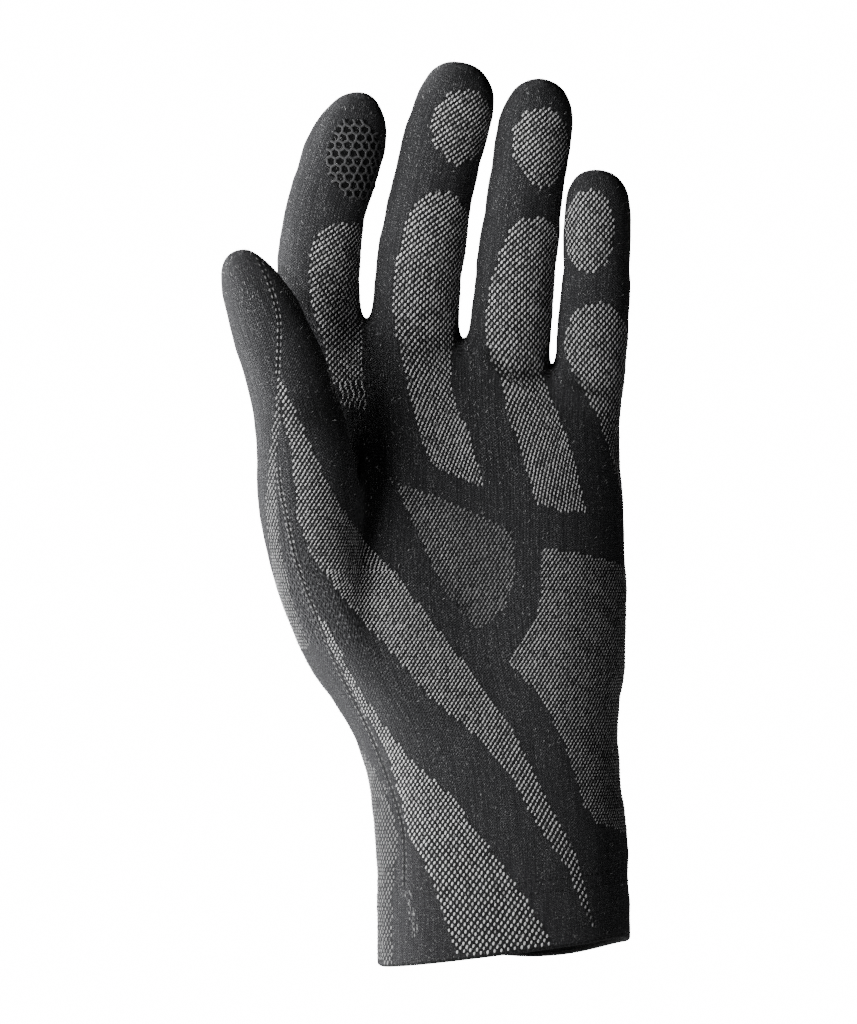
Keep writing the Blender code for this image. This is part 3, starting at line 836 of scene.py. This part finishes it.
def row_widths(z, x_from, x_to):
    """How far along the skin each spot of a row lies, so that the net keeps its pitch there."""
    spots = [x_from]
    lengths = [0.0]
    last = None
    for x in np.arange(x_from, x_to, 0.2):
        place = cast(x, z, -1)[0]
        if place is None:
            continue
        if last is not None:
            spots.append(x)
            lengths.append(lengths[-1] + (place - last).length * 1000.0)
        last = place
    return np.array(lengths), np.array(spots)


def net_cords(net):
    """The cords of one net: a start and end in mm along the skin and up, and a brightness for each that is
    painted light, by its slant.
    """
    tall = (net.row ** 2 - net.column ** 2 / 4.0) / (2.0 * net.row)
    top = net.row - tall
    half = net.column / 2.0
    cords = []
    for row in range(-1, 14):
        for column in range(-2, 12):
            x = column * net.column + (half if row % 2 else 0.0)
            z = row * net.row
            # Painted light: the cords that slant up to the right are lightest, those that slant up to the
            # left darkest.
            cords.append(((x + half, z - tall), (x + half, z + tall), 0.7))
            cords.append(((x + half, z + tall), (x, z + top), 0.6))
            cords.append(((x - half, z + tall), (x, z + top), 1.0))
    return cords


def net_piece(net, material):
    """One net as soft cords that lie on the skin."""
    low_x = min(x for x, _ in net.outline)
    high_x = max(x for x, _ in net.outline)
    low_z = min(z for _, z in net.outline)
    points = []
    faces = []
    tones = []
    rows = {}
    for start, end, bright in net_cords(net):
        middle_z = low_z + (start[1] + end[1]) / 2.0
        if not low_z - 2.0 < middle_z < low_z + 40.0:
            continue
        path = []
        for number in range(CORD_STEPS + 1):
            share = number / CORD_STEPS
            z = low_z + start[1] + (end[1] - start[1]) * share
            along = start[0] + (end[0] - start[0]) * share
            key = round(z * 4.0)
            if key not in rows:
                rows[key] = row_widths(key / 4.0, low_x - 2.0, high_x + 3.0)
            lengths, spots = rows[key]
            if not 0.0 < along < lengths[-1]:
                path = []
                break
            x = float(np.interp(along, lengths, spots))
            path.append((x + 0.18 * math.sin(z * 2.1 + x), z))
        if not path or not inside(net.outline, path[2][0], path[2][1]):
            continue
        # The cord's tone carries its painted light by slant.
        tone = bright * net.bright * RANDOM.uniform(0.75, 1.1)
        rings = []
        ahead = Vector((path[-1][0] - path[0][0], 0.0, path[-1][1] - path[0][1])).normalized()
        for x, z in path:
            place, normal, _ = cast(x, z, -1)
            if place is None:
                rings = []
                break
            side = ahead.cross(normal).normalized()
            ring = []
            for number in range(CORD_SIDES):
                turn = 2.0 * math.pi * number / CORD_SIDES
                ring.append(place + side * (CORD_HALF_WIDTH * math.cos(turn))
                            + normal * (CORD_HALF_HEIGHT * math.sin(turn) + CORD_LIFT))
            rings.append(ring)
        for number, ring in enumerate(rings):
            first = len(points)
            points.extend(ring)
            tones.extend([tone] * CORD_SIDES)
            if number:
                for corner in range(CORD_SIDES):
                    after = (corner + 1) % CORD_SIDES
                    faces.append((first - CORD_SIDES + corner, first - CORD_SIDES + after,
                                  first + after, first + corner))
    mesh = toned_mesh("touch_net_" + net.name, points, faces, tones)
    mesh.polygons.foreach_set("use_smooth", [True] * len(faces))
    lay_in_scene(mesh.name, mesh, material)


# The knit's yarn.
# Charcoal polyester and nylon yarn, knitted fine on a machine: matt, with rows of small V-shaped
# stitches that show as faint upright streaks, a heathered shade that differs from stitch to
# stitch, pale flecks of stray fibre, and a soft grey bloom where the light grazes it. The real
# stitches are about half this size and too fine to show.
WALE_MM = 0.95
COURSE_MM = 0.70


def linear(colour):
    """An sRGB hex colour as linear red, green, blue and alpha."""
    values = [int(colour[place:place + 2], 16) / 255.0 for place in (1, 3, 5)]
    return tuple(v / 12.92 if v <= 0.04045 else ((v + 0.055) / 1.055) ** 2.4 for v in values) + (1.0,)


def add(tree, kind, inputs=None, **settings):
    """Adds a node with its settings, and with values or links for its inputs."""
    made = tree.nodes.new(kind)
    for name, value in settings.items():
        setattr(made, name, value)
    for socket, value in (inputs or {}).items():
        if isinstance(value, bpy.types.NodeSocket):
            tree.links.new(value, made.inputs[socket])
        else:
            made.inputs[socket].default_value = value
    return made


def charcoal_knit(name, shade, bloom):
    """Fine charcoal jersey, in one shade of the yarn."""
    made = bpy.data.materials.new(name)
    made.use_nodes = True
    tree = made.node_tree
    shader = tree.nodes["Principled BSDF"]
    chart = add(tree, "ShaderNodeUVMap", uv_map="knit").outputs["UV"]
    split = add(tree, "ShaderNodeSeparateXYZ", {"Vector": chart})
    # Each loop leans two arms up from the middle of its wale.
    wale = add(tree, "ShaderNodeMath", {0: split.outputs["X"], 1: 1000.0 / WALE_MM},
               operation="MULTIPLY").outputs[0]
    half = add(tree, "ShaderNodeMath", {0: add(tree, "ShaderNodeMath", {0: wale},
               operation="FRACT").outputs[0], 1: 0.5}, operation="SUBTRACT").outputs[0]
    arm = add(tree, "ShaderNodeMath", {0: half}, operation="ABSOLUTE").outputs[0]
    course = add(tree, "ShaderNodeMath", {0: split.outputs["Y"], 1: 1000.0 / COURSE_MM},
                 operation="MULTIPLY").outputs[0]
    slanted = add(tree, "ShaderNodeMath", {0: arm, 1: -1.3, 2: course},
                  operation="MULTIPLY_ADD").outputs[0]
    turn = add(tree, "ShaderNodeMath", {0: slanted, 1: 2.0 * math.pi}, operation="MULTIPLY").outputs[0]
    loops = add(tree, "ShaderNodeMath", {0: turn}, operation="SINE").outputs[0]
    ridge = add(tree, "ShaderNodeMath", {0: arm, 1: -1.6, 2: loops},
                operation="MULTIPLY_ADD").outputs[0]
    cell = add(tree, "ShaderNodeCombineXYZ", {
        "X": add(tree, "ShaderNodeMath", {0: wale}, operation="FLOOR").outputs[0],
        "Y": add(tree, "ShaderNodeMath", {0: slanted}, operation="FLOOR").outputs[0],
    }).outputs[0]
    # The heathered shade, by stitch and by wale, dark between the wales.
    stitch = add(tree, "ShaderNodeTexWhiteNoise", {"Vector": cell}, noise_dimensions="2D").outputs["Value"]
    row = add(tree, "ShaderNodeTexWhiteNoise", {
        "W": add(tree, "ShaderNodeMath", {0: wale}, operation="FLOOR").outputs[0]},
        noise_dimensions="1D").outputs["Value"]
    mottle = add(tree, "ShaderNodeTexNoise", {"Vector": chart, "Scale": 160.0, "Detail": 3.0,
                                             "Roughness": 0.65}).outputs["Fac"]
    between = add(tree, "ShaderNodeMapRange", {"Value": arm, "From Min": 0.22, "From Max": 0.5,
                                              "To Min": 0.80, "To Max": 0.32}).outputs[0]
    tone = add(tree, "ShaderNodeMath", {0: stitch, 1: 0.26, 2: between},
               operation="MULTIPLY_ADD").outputs[0]
    tone = add(tree, "ShaderNodeMath", {0: row, 1: 0.12, 2: tone}, operation="MULTIPLY_ADD").outputs[0]
    tone = add(tree, "ShaderNodeMath", {0: mottle, 1: 0.45, 2: tone}, operation="MULTIPLY_ADD").outputs[0]
    # The ground attribute holds the open zones' darker ground and painted shade: the palm's folds, the back
    # and the inner face.
    ground = add(tree, "ShaderNodeAttribute", attribute_name="ground").outputs["Fac"]
    tone = add(tree, "ShaderNodeMath", {0: tone, 1: ground}, operation="MULTIPLY").outputs[0]
    yarn = add(tree, "ShaderNodeMix", {"Factor": 1.0, "A": linear(shade)}, data_type="RGBA",
               blend_type="MULTIPLY")
    tree.links.new(tone, yarn.inputs[7])
    # Pale flecks of fibre, strung out along the wales.
    drawn_out = add(tree, "ShaderNodeCombineXYZ", {
        "X": add(tree, "ShaderNodeMath", {0: wale, 1: 0.9}, operation="MULTIPLY").outputs[0],
        "Y": add(tree, "ShaderNodeMath", {0: course, 1: 0.045}, operation="MULTIPLY").outputs[0],
    }).outputs[0]
    streak = add(tree, "ShaderNodeTexNoise", {"Vector": drawn_out, "Scale": 1.0, "Detail": 2.0,
                                             "Roughness": 0.6}).outputs["Fac"]
    streak = add(tree, "ShaderNodeMapRange", {"Value": streak, "From Min": 0.38, "From Max": 0.66,
                                             "To Min": 0.22, "To Max": 1.0}).outputs[0]
    fluff = add(tree, "ShaderNodeTexNoise", {"Vector": chart, "Scale": 2600.0, "Detail": 1.0,
                                            "Roughness": 0.7}).outputs["Fac"]
    fleck = add(tree, "ShaderNodeMapRange", {"Value": fluff, "From Min": 0.50, "From Max": 0.74,
                                            "To Min": 0.0, "To Max": 0.95}).outputs[0]
    fleck = add(tree, "ShaderNodeMath", {0: fleck, 1: streak}, operation="MULTIPLY").outputs[0]
    fleck = add(tree, "ShaderNodeMath", {0: fleck, 1: ground}, operation="MULTIPLY").outputs[0]
    dyed = add(tree, "ShaderNodeMix", {0: fleck, 6: yarn.outputs[2], 7: linear("#98989a")},
               data_type="RGBA")
    tree.links.new(dyed.outputs[2], shader.inputs["Base Color"])
    relief = add(tree, "ShaderNodeBump", {"Strength": 0.6, "Distance": 0.00030, "Height": ridge})
    tree.links.new(relief.outputs[0], shader.inputs["Normal"])
    shader.inputs["Roughness"].default_value = 0.88
    shader.inputs["Specular IOR Level"].default_value = 0.25
    shader.inputs["Sheen Weight"].default_value = bloom
    shader.inputs["Sheen Roughness"].default_value = 0.4
    shader.inputs["Sheen Tint"].default_value = linear("#b9babd")
    return made


def in_front(points, side):
    """Which points of the skin nothing covers, looked at from one side."""
    seen = np.zeros(len(points), dtype=bool)
    for number, (x, y, z) in enumerate(points.tolist()):
        place = SKIN.ray_cast(Vector((x, side * 0.3, z)), Vector((0.0, -side, 0.0)))[0]
        seen[number] = place is None or abs(place.y - y) < 0.0015
    return seen


# How light the ground stays in the open zones, how dark the seam's groove is, how far it reaches
# in mm, how much painted shade darkens the back, and how light the inner face is, as painted shade.
ZONE_GROUND = 0.5
BACK_ZONE_GROUND = 0.55
GROOVE_DARK = 0.85
GROOVE_REACH = 0.75
BACK_PAINTED_SHADE = 0.3
INNER_PAINTED_SHADE = 0.3


def ground_with_painted_shade(points, normals):
    """How light the charcoal ground looks at each point of the skin, from nought to one, painted shade
    included.
    """
    shade = np.ones(len(points))
    x = points[:, 0] * 1000.0
    z = points[:, 2] * 1000.0
    palm = in_front(points, -1) & (normals[:, 1] < 0.05)
    back = in_front(points, 1) & (normals[:, 1] > 0.05)
    for zone in PALM_ZONES:
        shade[within(zone.outline, x, z) & palm] = ZONE_GROUND
    for zone in BACK_ZONES:
        shade[within(zone.outline, x, z) & back] = BACK_ZONE_GROUND
    for net in NETS:
        shade[within(net.outline, x, z) & palm] = net.ground
    # Painted shade along the palm's folds; their painted light, under nought, is left to the dots.
    for painted_mark in PAINTED_FOLD_SHADE_AND_LIGHT:
        away = distance_to(painted_mark.line, x, z) / painted_mark.breadth
        shade *= 1.0 - max(painted_mark.dark, 0.0) * np.exp(-away * away) * palm
    for seam in GROOVES:
        away = distance_to(seam.line, x, z)
        groove = np.clip(1.0 - away / GROOVE_REACH, 0.0, 1.0) * palm
        shade *= 1.0 - GROOVE_DARK * groove
    # Painted shade: the knit that faces the back is darkened.
    return shade * (1.0 - BACK_PAINTED_SHADE * np.clip(normals[:, 1] * 2.0, 0.0, 1.0))


RIM_STEPS = 6


def mouth_edge(faces, points):
    """The points round the open lower edge of a piece, in order."""
    links = {}
    for face in faces.tolist():
        for start, end in zip(face, face[1:] + face[:1]):
            links[(start, end)] = True
    free = {end: start for start, end in links if (end, start) not in links}
    loops = []
    while free:
        start = next(iter(free))
        loop = [start]
        while free.get(loop[-1]) is not None and free[loop[-1]] != start:
            loop.append(free[loop[-1]])
        for point in loop:
            free.pop(point)
        loops.append(np.array(loop))
    return min(loops, key=lambda loop: points[loop, 2].mean())


def knit_piece(name, wall, material, rim):
    """One piece of the knit: its part of the outside, its inner face, and a rim where it ends."""
    number = PIECES.index(name)
    outer_faces = OUTSIDE.faces[OUTSIDE.owners == number]
    outer_chart = OUTSIDE.chart[OUTSIDE.owners == number]
    inner = OUTSIDE if rim else INSIDE
    inner_faces = inner.faces[inner.owners == number][:, ::-1]
    inner_chart = inner.chart[inner.owners == number][:, ::-1]
    outer_used, outer_index = np.unique(outer_faces, return_inverse=True)
    inner_used, inner_index = np.unique(inner_faces, return_inverse=True)
    outer_points = OUTSIDE.points[outer_used]
    inner_points = inner.points[inner_used] - inner.normals[inner_used] * wall
    faces = np.concatenate((outer_index.reshape(-1, 4), inner_index.reshape(-1, 4) + len(outer_used)))
    points = np.concatenate((outer_points, inner_points))
    normals = np.concatenate((OUTSIDE.normals[outer_used], -inner.normals[inner_used]))
    charts = np.concatenate((outer_chart, inner_chart))
    if rim:
        edge = mouth_edge(outer_index.reshape(-1, 4), outer_points)
        count = len(edge)
        rows = [edge]
        for number in range(1, RIM_STEPS):
            turn = math.pi * number / RIM_STEPS
            out = OUTSIDE.normals[outer_used][edge]
            ring_normals = out * math.cos(turn) + np.array((0.0, 0.0, -math.sin(turn)))
            ring = outer_points[edge] + out * (math.cos(turn) - 1.0) * wall / 2.0
            ring[:, 2] -= math.sin(turn) * wall / 2.0
            rows.append(np.arange(count) + len(points))
            points = np.concatenate((points, ring))
            normals = np.concatenate((normals, ring_normals))
        rows.append(edge + len(outer_used))
        for low, high in zip(rows, rows[1:]):
            band = np.stack((low, np.roll(low, -1), np.roll(high, -1), high), axis=1)
            u = np.arange(count + 1) * 0.0003
            v = -0.0005 * np.ones(count)
            strip = np.stack([np.stack(corner, axis=1) for corner in (
                (u[:-1], v), (u[1:], v), (u[1:], 2.0 * v), (u[:-1], 2.0 * v))], axis=1)
            faces = np.concatenate((faces, band))
            charts = np.concatenate((charts, strip))
    mesh = bpy.data.meshes.new(name)
    mesh.from_pydata(points.tolist(), [], faces.tolist())
    chart = mesh.uv_layers.new(name="knit")
    chart.data.foreach_set("uv", charts.astype(np.float32).ravel())
    mesh.polygons.foreach_set("use_smooth", np.ones(len(faces), dtype=bool))
    # The inner face and the hem's rim take the inner shade, painted shade for the unlit inside.
    ground = mesh.attributes.new("ground", "FLOAT", "POINT")
    shade = np.concatenate((ground_with_painted_shade(outer_points, OUTSIDE.normals[outer_used]),
                            np.full(len(points) - len(outer_points), INNER_PAINTED_SHADE)))
    ground.data.foreach_set("value", shade.astype(np.float32))
    mesh.normals_split_custom_set_from_vertices(normals.tolist())
    piece = lay_in_scene("knit_" + name, mesh, material)
    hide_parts(name)


KNIT_WALL = 0.0012
HEM_WALL = 0.0022
HAND_YARN = charcoal_knit("charcoal_jersey", "#2c2c2e", 0.32)
for piece_name in PIECES:
    turned = piece_name == "cuff_hem"
    knit_piece(piece_name, HEM_WALL if turned else KNIT_WALL, HAND_YARN, turned)


# The pale dots of the open zones.
# Each is one float of the pale yarn where it crosses the charcoal loops: a small soft bead of
# fibre, slanting to the right, brighter or duller as it stands proud or sinks between its
# neighbours.
def pale_yarn():
    """Light grey spun yarn, matt and fuzzy, in a tone of its own at each dot."""
    made = bpy.data.materials.new("pale_grey_yarn")
    made.use_nodes = True
    tree = made.node_tree
    shader = tree.nodes["Principled BSDF"]
    tone = add(tree, "ShaderNodeAttribute", attribute_name="tone").outputs["Fac"]
    yarn = add(tree, "ShaderNodeMix", {0: tone, 6: linear("#3a3a3c"), 7: linear("#ffffff")},
               data_type="RGBA")
    tree.links.new(yarn.outputs[2], shader.inputs["Base Color"])
    shader.inputs["Roughness"].default_value = 0.8
    shader.inputs["Specular IOR Level"].default_value = 0.3
    shader.inputs["Sheen Weight"].default_value = 0.2
    return made


BEAD_SIDES = 7
BEAD_HALF_LONG = 0.00062
BEAD_HALF_SHORT = 0.00033
BEAD_SUNK = 0.00003
BEAD_PROUD = 0.00017
# The pitch in mm at which a bead has these sizes.
BEAD_PITCH = 1.7
# The share of dots that sink between their neighbours, and how bright those still are.
SUNKEN = 0.12
SUNKEN_TONE = 0.45


def bead_mesh(name, stitches, material):
    """All the dots on one piece, as low beads that lean to the right."""
    if not stitches:
        return
    points = []
    faces = []
    tones = []
    for stitch in stitches:
        normal = stitch.normal.normalized()
        up = (stitch.up - normal * stitch.up.dot(normal)).normalized()
        right = up.cross(normal)
        if right.x < 0.0:
            right = -right
        wide = stitch.size / BEAD_PITCH
        lean = math.radians(22.0 + 12.0 * (1.0 - wide) / 0.4 + RANDOM.uniform(-5.0, 5.0)) * stitch.lean
        long_way = up * math.cos(lean) + right * math.sin(lean)
        short_way = right * math.cos(lean) - up * math.sin(lean)
        swell = RANDOM.uniform(0.88, 1.12)
        half_long = BEAD_HALF_LONG * wide ** 0.3 * swell
        half_short = BEAD_HALF_SHORT * wide ** 0.8 * swell
        place = stitch.place + up * RANDOM.uniform(-0.00005, 0.00005)
        place += right * RANDOM.uniform(-0.00005, 0.00005)
        start = len(points)
        for corner in range(BEAD_SIDES):
            turn = 2.0 * math.pi * corner / BEAD_SIDES
            points.append(place + long_way * (half_long * math.cos(turn))
                          + short_way * (half_short * math.sin(turn)) - normal * BEAD_SUNK)
        points.append(place + normal * BEAD_PROUD)
        for corner in range(BEAD_SIDES):
            faces.append((start + (corner + 1) % BEAD_SIDES, start + corner, start + BEAD_SIDES))
        # Each dot's tone takes the painted shade of the palm's folds and the painted light in the thumb's
        # shadow.
        tone = RANDOM.uniform(0.6, 1.0) ** 0.8 * stitch.bright * painted_fold_shade_and_light(stitch.place, stitch.normal)
        if RANDOM.random() < SUNKEN:
            tone *= SUNKEN_TONE
        tones.extend([tone] * (BEAD_SIDES + 1))
    mesh = toned_mesh(name, points, faces, tones)
    mesh.polygons.foreach_set("use_smooth", [True] * len(faces))
    lay_in_scene(name, mesh, material)


PALE_YARN = pale_yarn()
for piece_name in PIECES:
    own = [stitch for stitch in STITCHES if stitch.owner == piece_name]
    bead_mesh("pale_dots_" + piece_name, own, PALE_YARN)
for net in NETS:
    net_piece(net, PALE_YARN)


# The hem's stitching.
# The hem is turned up inside the cuff and caught down by two rows of black thread, a short stitch
# at a time, 3.4 mm apart: they show as two faint dotted lines round the cuff.
HEM_ROW_DROPS = (0.4, 3.8)
HEM_PITCH = 1.7


def plain(name, colour, roughness):
    """One even colour and gloss, for thread and paper."""
    made = bpy.data.materials.new(name)
    made.use_nodes = True
    made.node_tree.nodes["Principled BSDF"].inputs["Base Color"].default_value = linear(colour)
    made.node_tree.nodes["Principled BSDF"].inputs["Roughness"].default_value = roughness
    return made


def hem_row(drop):
    """Stitches round the cuff, a drop in mm under the top of the hem."""
    hem = np.unique(OUTSIDE.faces[OUTSIDE.owners == PIECES.index("cuff_hem")])
    cuff = np.unique(OUTSIDE.faces[OUTSIDE.owners == PIECES.index("wrist_cuff")])
    border = OUTSIDE.points[np.intersect1d(hem, cuff)]
    middle = border.mean(axis=0)
    turns = np.arctan2(border[:, 1] - middle[1], border[:, 0] - middle[0])
    order = np.argsort(turns)
    turns = turns[order]
    heights = border[order, 2] - drop / 1000.0
    row = []
    last = None
    for turn in np.linspace(-math.pi, math.pi, 900):
        height = float(np.interp(turn, turns, heights, period=2.0 * math.pi))
        way = Vector((math.cos(turn), math.sin(turn), 0.0))
        start = Vector((middle[0], middle[1], height)) + way * 0.12
        place, normal, face, _ = SKIN.ray_cast(start, -way)
        if place is None:
            continue
        if last is not None and (place - last).length < HEM_PITCH / 1000.0:
            continue
        last = place
        up = Vector((-way.y, way.x, 0.0))
        row.append(Stitch(place, normal, up, "cuff_hem", 1.15, 1.0, 0.0))
    return row


bead_mesh("hem_stitches", [stitch for drop in HEM_ROW_DROPS for stitch in hem_row(drop)],
          plain("black_thread", "#0b0b0c", 0.6))


# The stray fibre.
# Spun yarn sheds short pale fibres. They lie on the knit as fine specks, mostly along its wales,
# and stand off it at the outline as a thin fuzz. Length and width in mm, and how steeply they
# rise off the knit.
Fibre = namedtuple("Fibre", "name count length width rise bright")
FIBRES = (
    Fibre("pale_specks", 26000, 0.40, 0.14, 0.05, 0.34),
    Fibre("fuzz", 16000, 0.80, 0.07, 0.9, 0.85),
)


def fibre_mesh(fibre, material):
    """Short flat fibres strewn over the knit, leaning up it or out from it."""
    quads = OUTSIDE.points[OUTSIDE.faces]
    sizes = np.linalg.norm(np.cross(quads[:, 2] - quads[:, 0], quads[:, 3] - quads[:, 1]), axis=1)
    chosen = RANDOM.choice(len(quads), fibre.count, p=sizes / sizes.sum())
    across = RANDOM.random((fibre.count, 1))
    along = RANDOM.random((fibre.count, 1))
    quad = quads[chosen]
    place = ((quad[:, 0] * (1 - across) + quad[:, 1] * across) * (1 - along)
             + (quad[:, 3] * (1 - across) + quad[:, 2] * across) * along)
    normal = OUTSIDE.normals[OUTSIDE.faces[chosen]].mean(axis=1)
    normal /= np.linalg.norm(normal, axis=1, keepdims=True)
    up = np.array((0.0, 0.0, 1.0)) + RANDOM.normal(0.0, 0.35, (fibre.count, 3))
    up -= normal * (up * normal).sum(axis=1, keepdims=True)
    up /= np.linalg.norm(up, axis=1, keepdims=True)
    side = np.cross(up, normal)
    rise = fibre.rise * RANDOM.uniform(0.5, 1.0, (fibre.count, 1))
    run = up * np.sqrt(1.0 - rise ** 2) + normal * rise
    length = fibre.length / 1000.0 * RANDOM.uniform(0.6, 1.2, (fibre.count, 1))
    half = fibre.width / 2000.0
    foot = place + normal * 0.00005
    corners = np.stack((foot - side * half, foot + side * half, foot + run * length + side * half,
                        foot + run * length - side * half), axis=1)
    tones = np.repeat(fibre.bright * RANDOM.random(fibre.count) ** 2.5, 4).astype(np.float32)
    mesh = toned_mesh(fibre.name, corners.reshape(-1, 3).tolist(),
                      np.arange(fibre.count * 4).reshape(-1, 4).tolist(), tones)
    lay_in_scene(fibre.name, mesh, material)


for fibre in FIBRES:
    fibre_mesh(fibre, PALE_YARN)


# The pale floor, the soft light and the camera.
# The glove stands in the air over a white floor in a white room. Both are bright to look at, but
# hardly light the glove: the soft lamps to its left and behind it do.
WHITE_SEEN = 16.0
WHITE_LIGHT = 0.006
FLOOR_LEVEL = -0.35
FLOOR_REACH = 3.0


def white_glow(tree, light, strength):
    """Makes a surface or the room white to look at, with little light of its own."""
    seen = add(tree, "ShaderNodeLightPath").outputs["Is Camera Ray"]
    glow = add(tree, "ShaderNodeMath", {0: seen, 1: WHITE_SEEN, 2: light}, operation="MULTIPLY_ADD")
    tree.links.new(glow.outputs[0], strength)


floor_mesh = bpy.data.meshes.new("floor")
floor_mesh.from_pydata([(x * FLOOR_REACH, y * FLOOR_REACH, FLOOR_LEVEL)
                        for x, y in ((-1, -1), (1, -1), (1, 1), (-1, 1))], [], [(0, 1, 2, 3)])
white_paper = plain("white_paper", "#f2f2f2", 0.9)
paper = white_paper.node_tree.nodes["Principled BSDF"]
paper.inputs["Emission Color"].default_value = linear("#ffffff")
white_glow(white_paper.node_tree, 0.0, paper.inputs["Emission Strength"])
floor_mesh.materials.append(white_paper)
floor = bpy.data.objects.new("floor", floor_mesh)
bpy.context.scene.collection.objects.link(floor)

world = bpy.data.worlds.new("white_room")
bpy.context.scene.world = world
world.use_nodes = True
sky = world.node_tree
room = sky.nodes["Background"]
room.inputs["Color"].default_value = linear("#ffffff")
white_glow(sky, WHITE_LIGHT, room.inputs["Strength"])

# Places and sizes in metres, power in watts.
Lamp = namedtuple("Lamp", "name place size power")
LAMPS = (
    Lamp("window", (-0.36, -0.31, 0.235), 0.30, 2.4),
    Lamp("left", (-0.42, -0.10, 0.14), 0.2, 1.05),
    Lamp("rear", (-0.9, 0.36, 0.25), 0.4, 12.0),
)
GLOVE_MIDDLE = Vector((-0.021, 0.0, 0.1215))
for lamp in LAMPS:
    light = bpy.data.lights.new(lamp.name, "AREA")
    light.shape = "DISK"
    light.size = lamp.size
    light.energy = lamp.power
    holder = bpy.data.objects.new(lamp.name, light)
    holder.location = lamp.place
    holder.rotation_euler = (GLOVE_MIDDLE - Vector(lamp.place)).to_track_quat("-Z", "Y").to_euler()
    bpy.context.scene.collection.objects.link(holder)

# One pixel of the picture is 0.28 mm at the glove.
PIXEL = 0.00028
DISTANCE = 1.9
lens = bpy.data.cameras.new("camera")
lens.sensor_width = 36.0
lens.lens = lens.sensor_width * DISTANCE / (1024 * PIXEL)
camera = bpy.data.objects.new("camera", lens)
camera.location = (GLOVE_MIDDLE.x, -DISTANCE, GLOVE_MIDDLE.z)
camera.rotation_euler = (math.pi / 2.0, 0.0, 0.0)
bpy.context.scene.collection.objects.link(camera)
bpy.context.scene.camera = camera
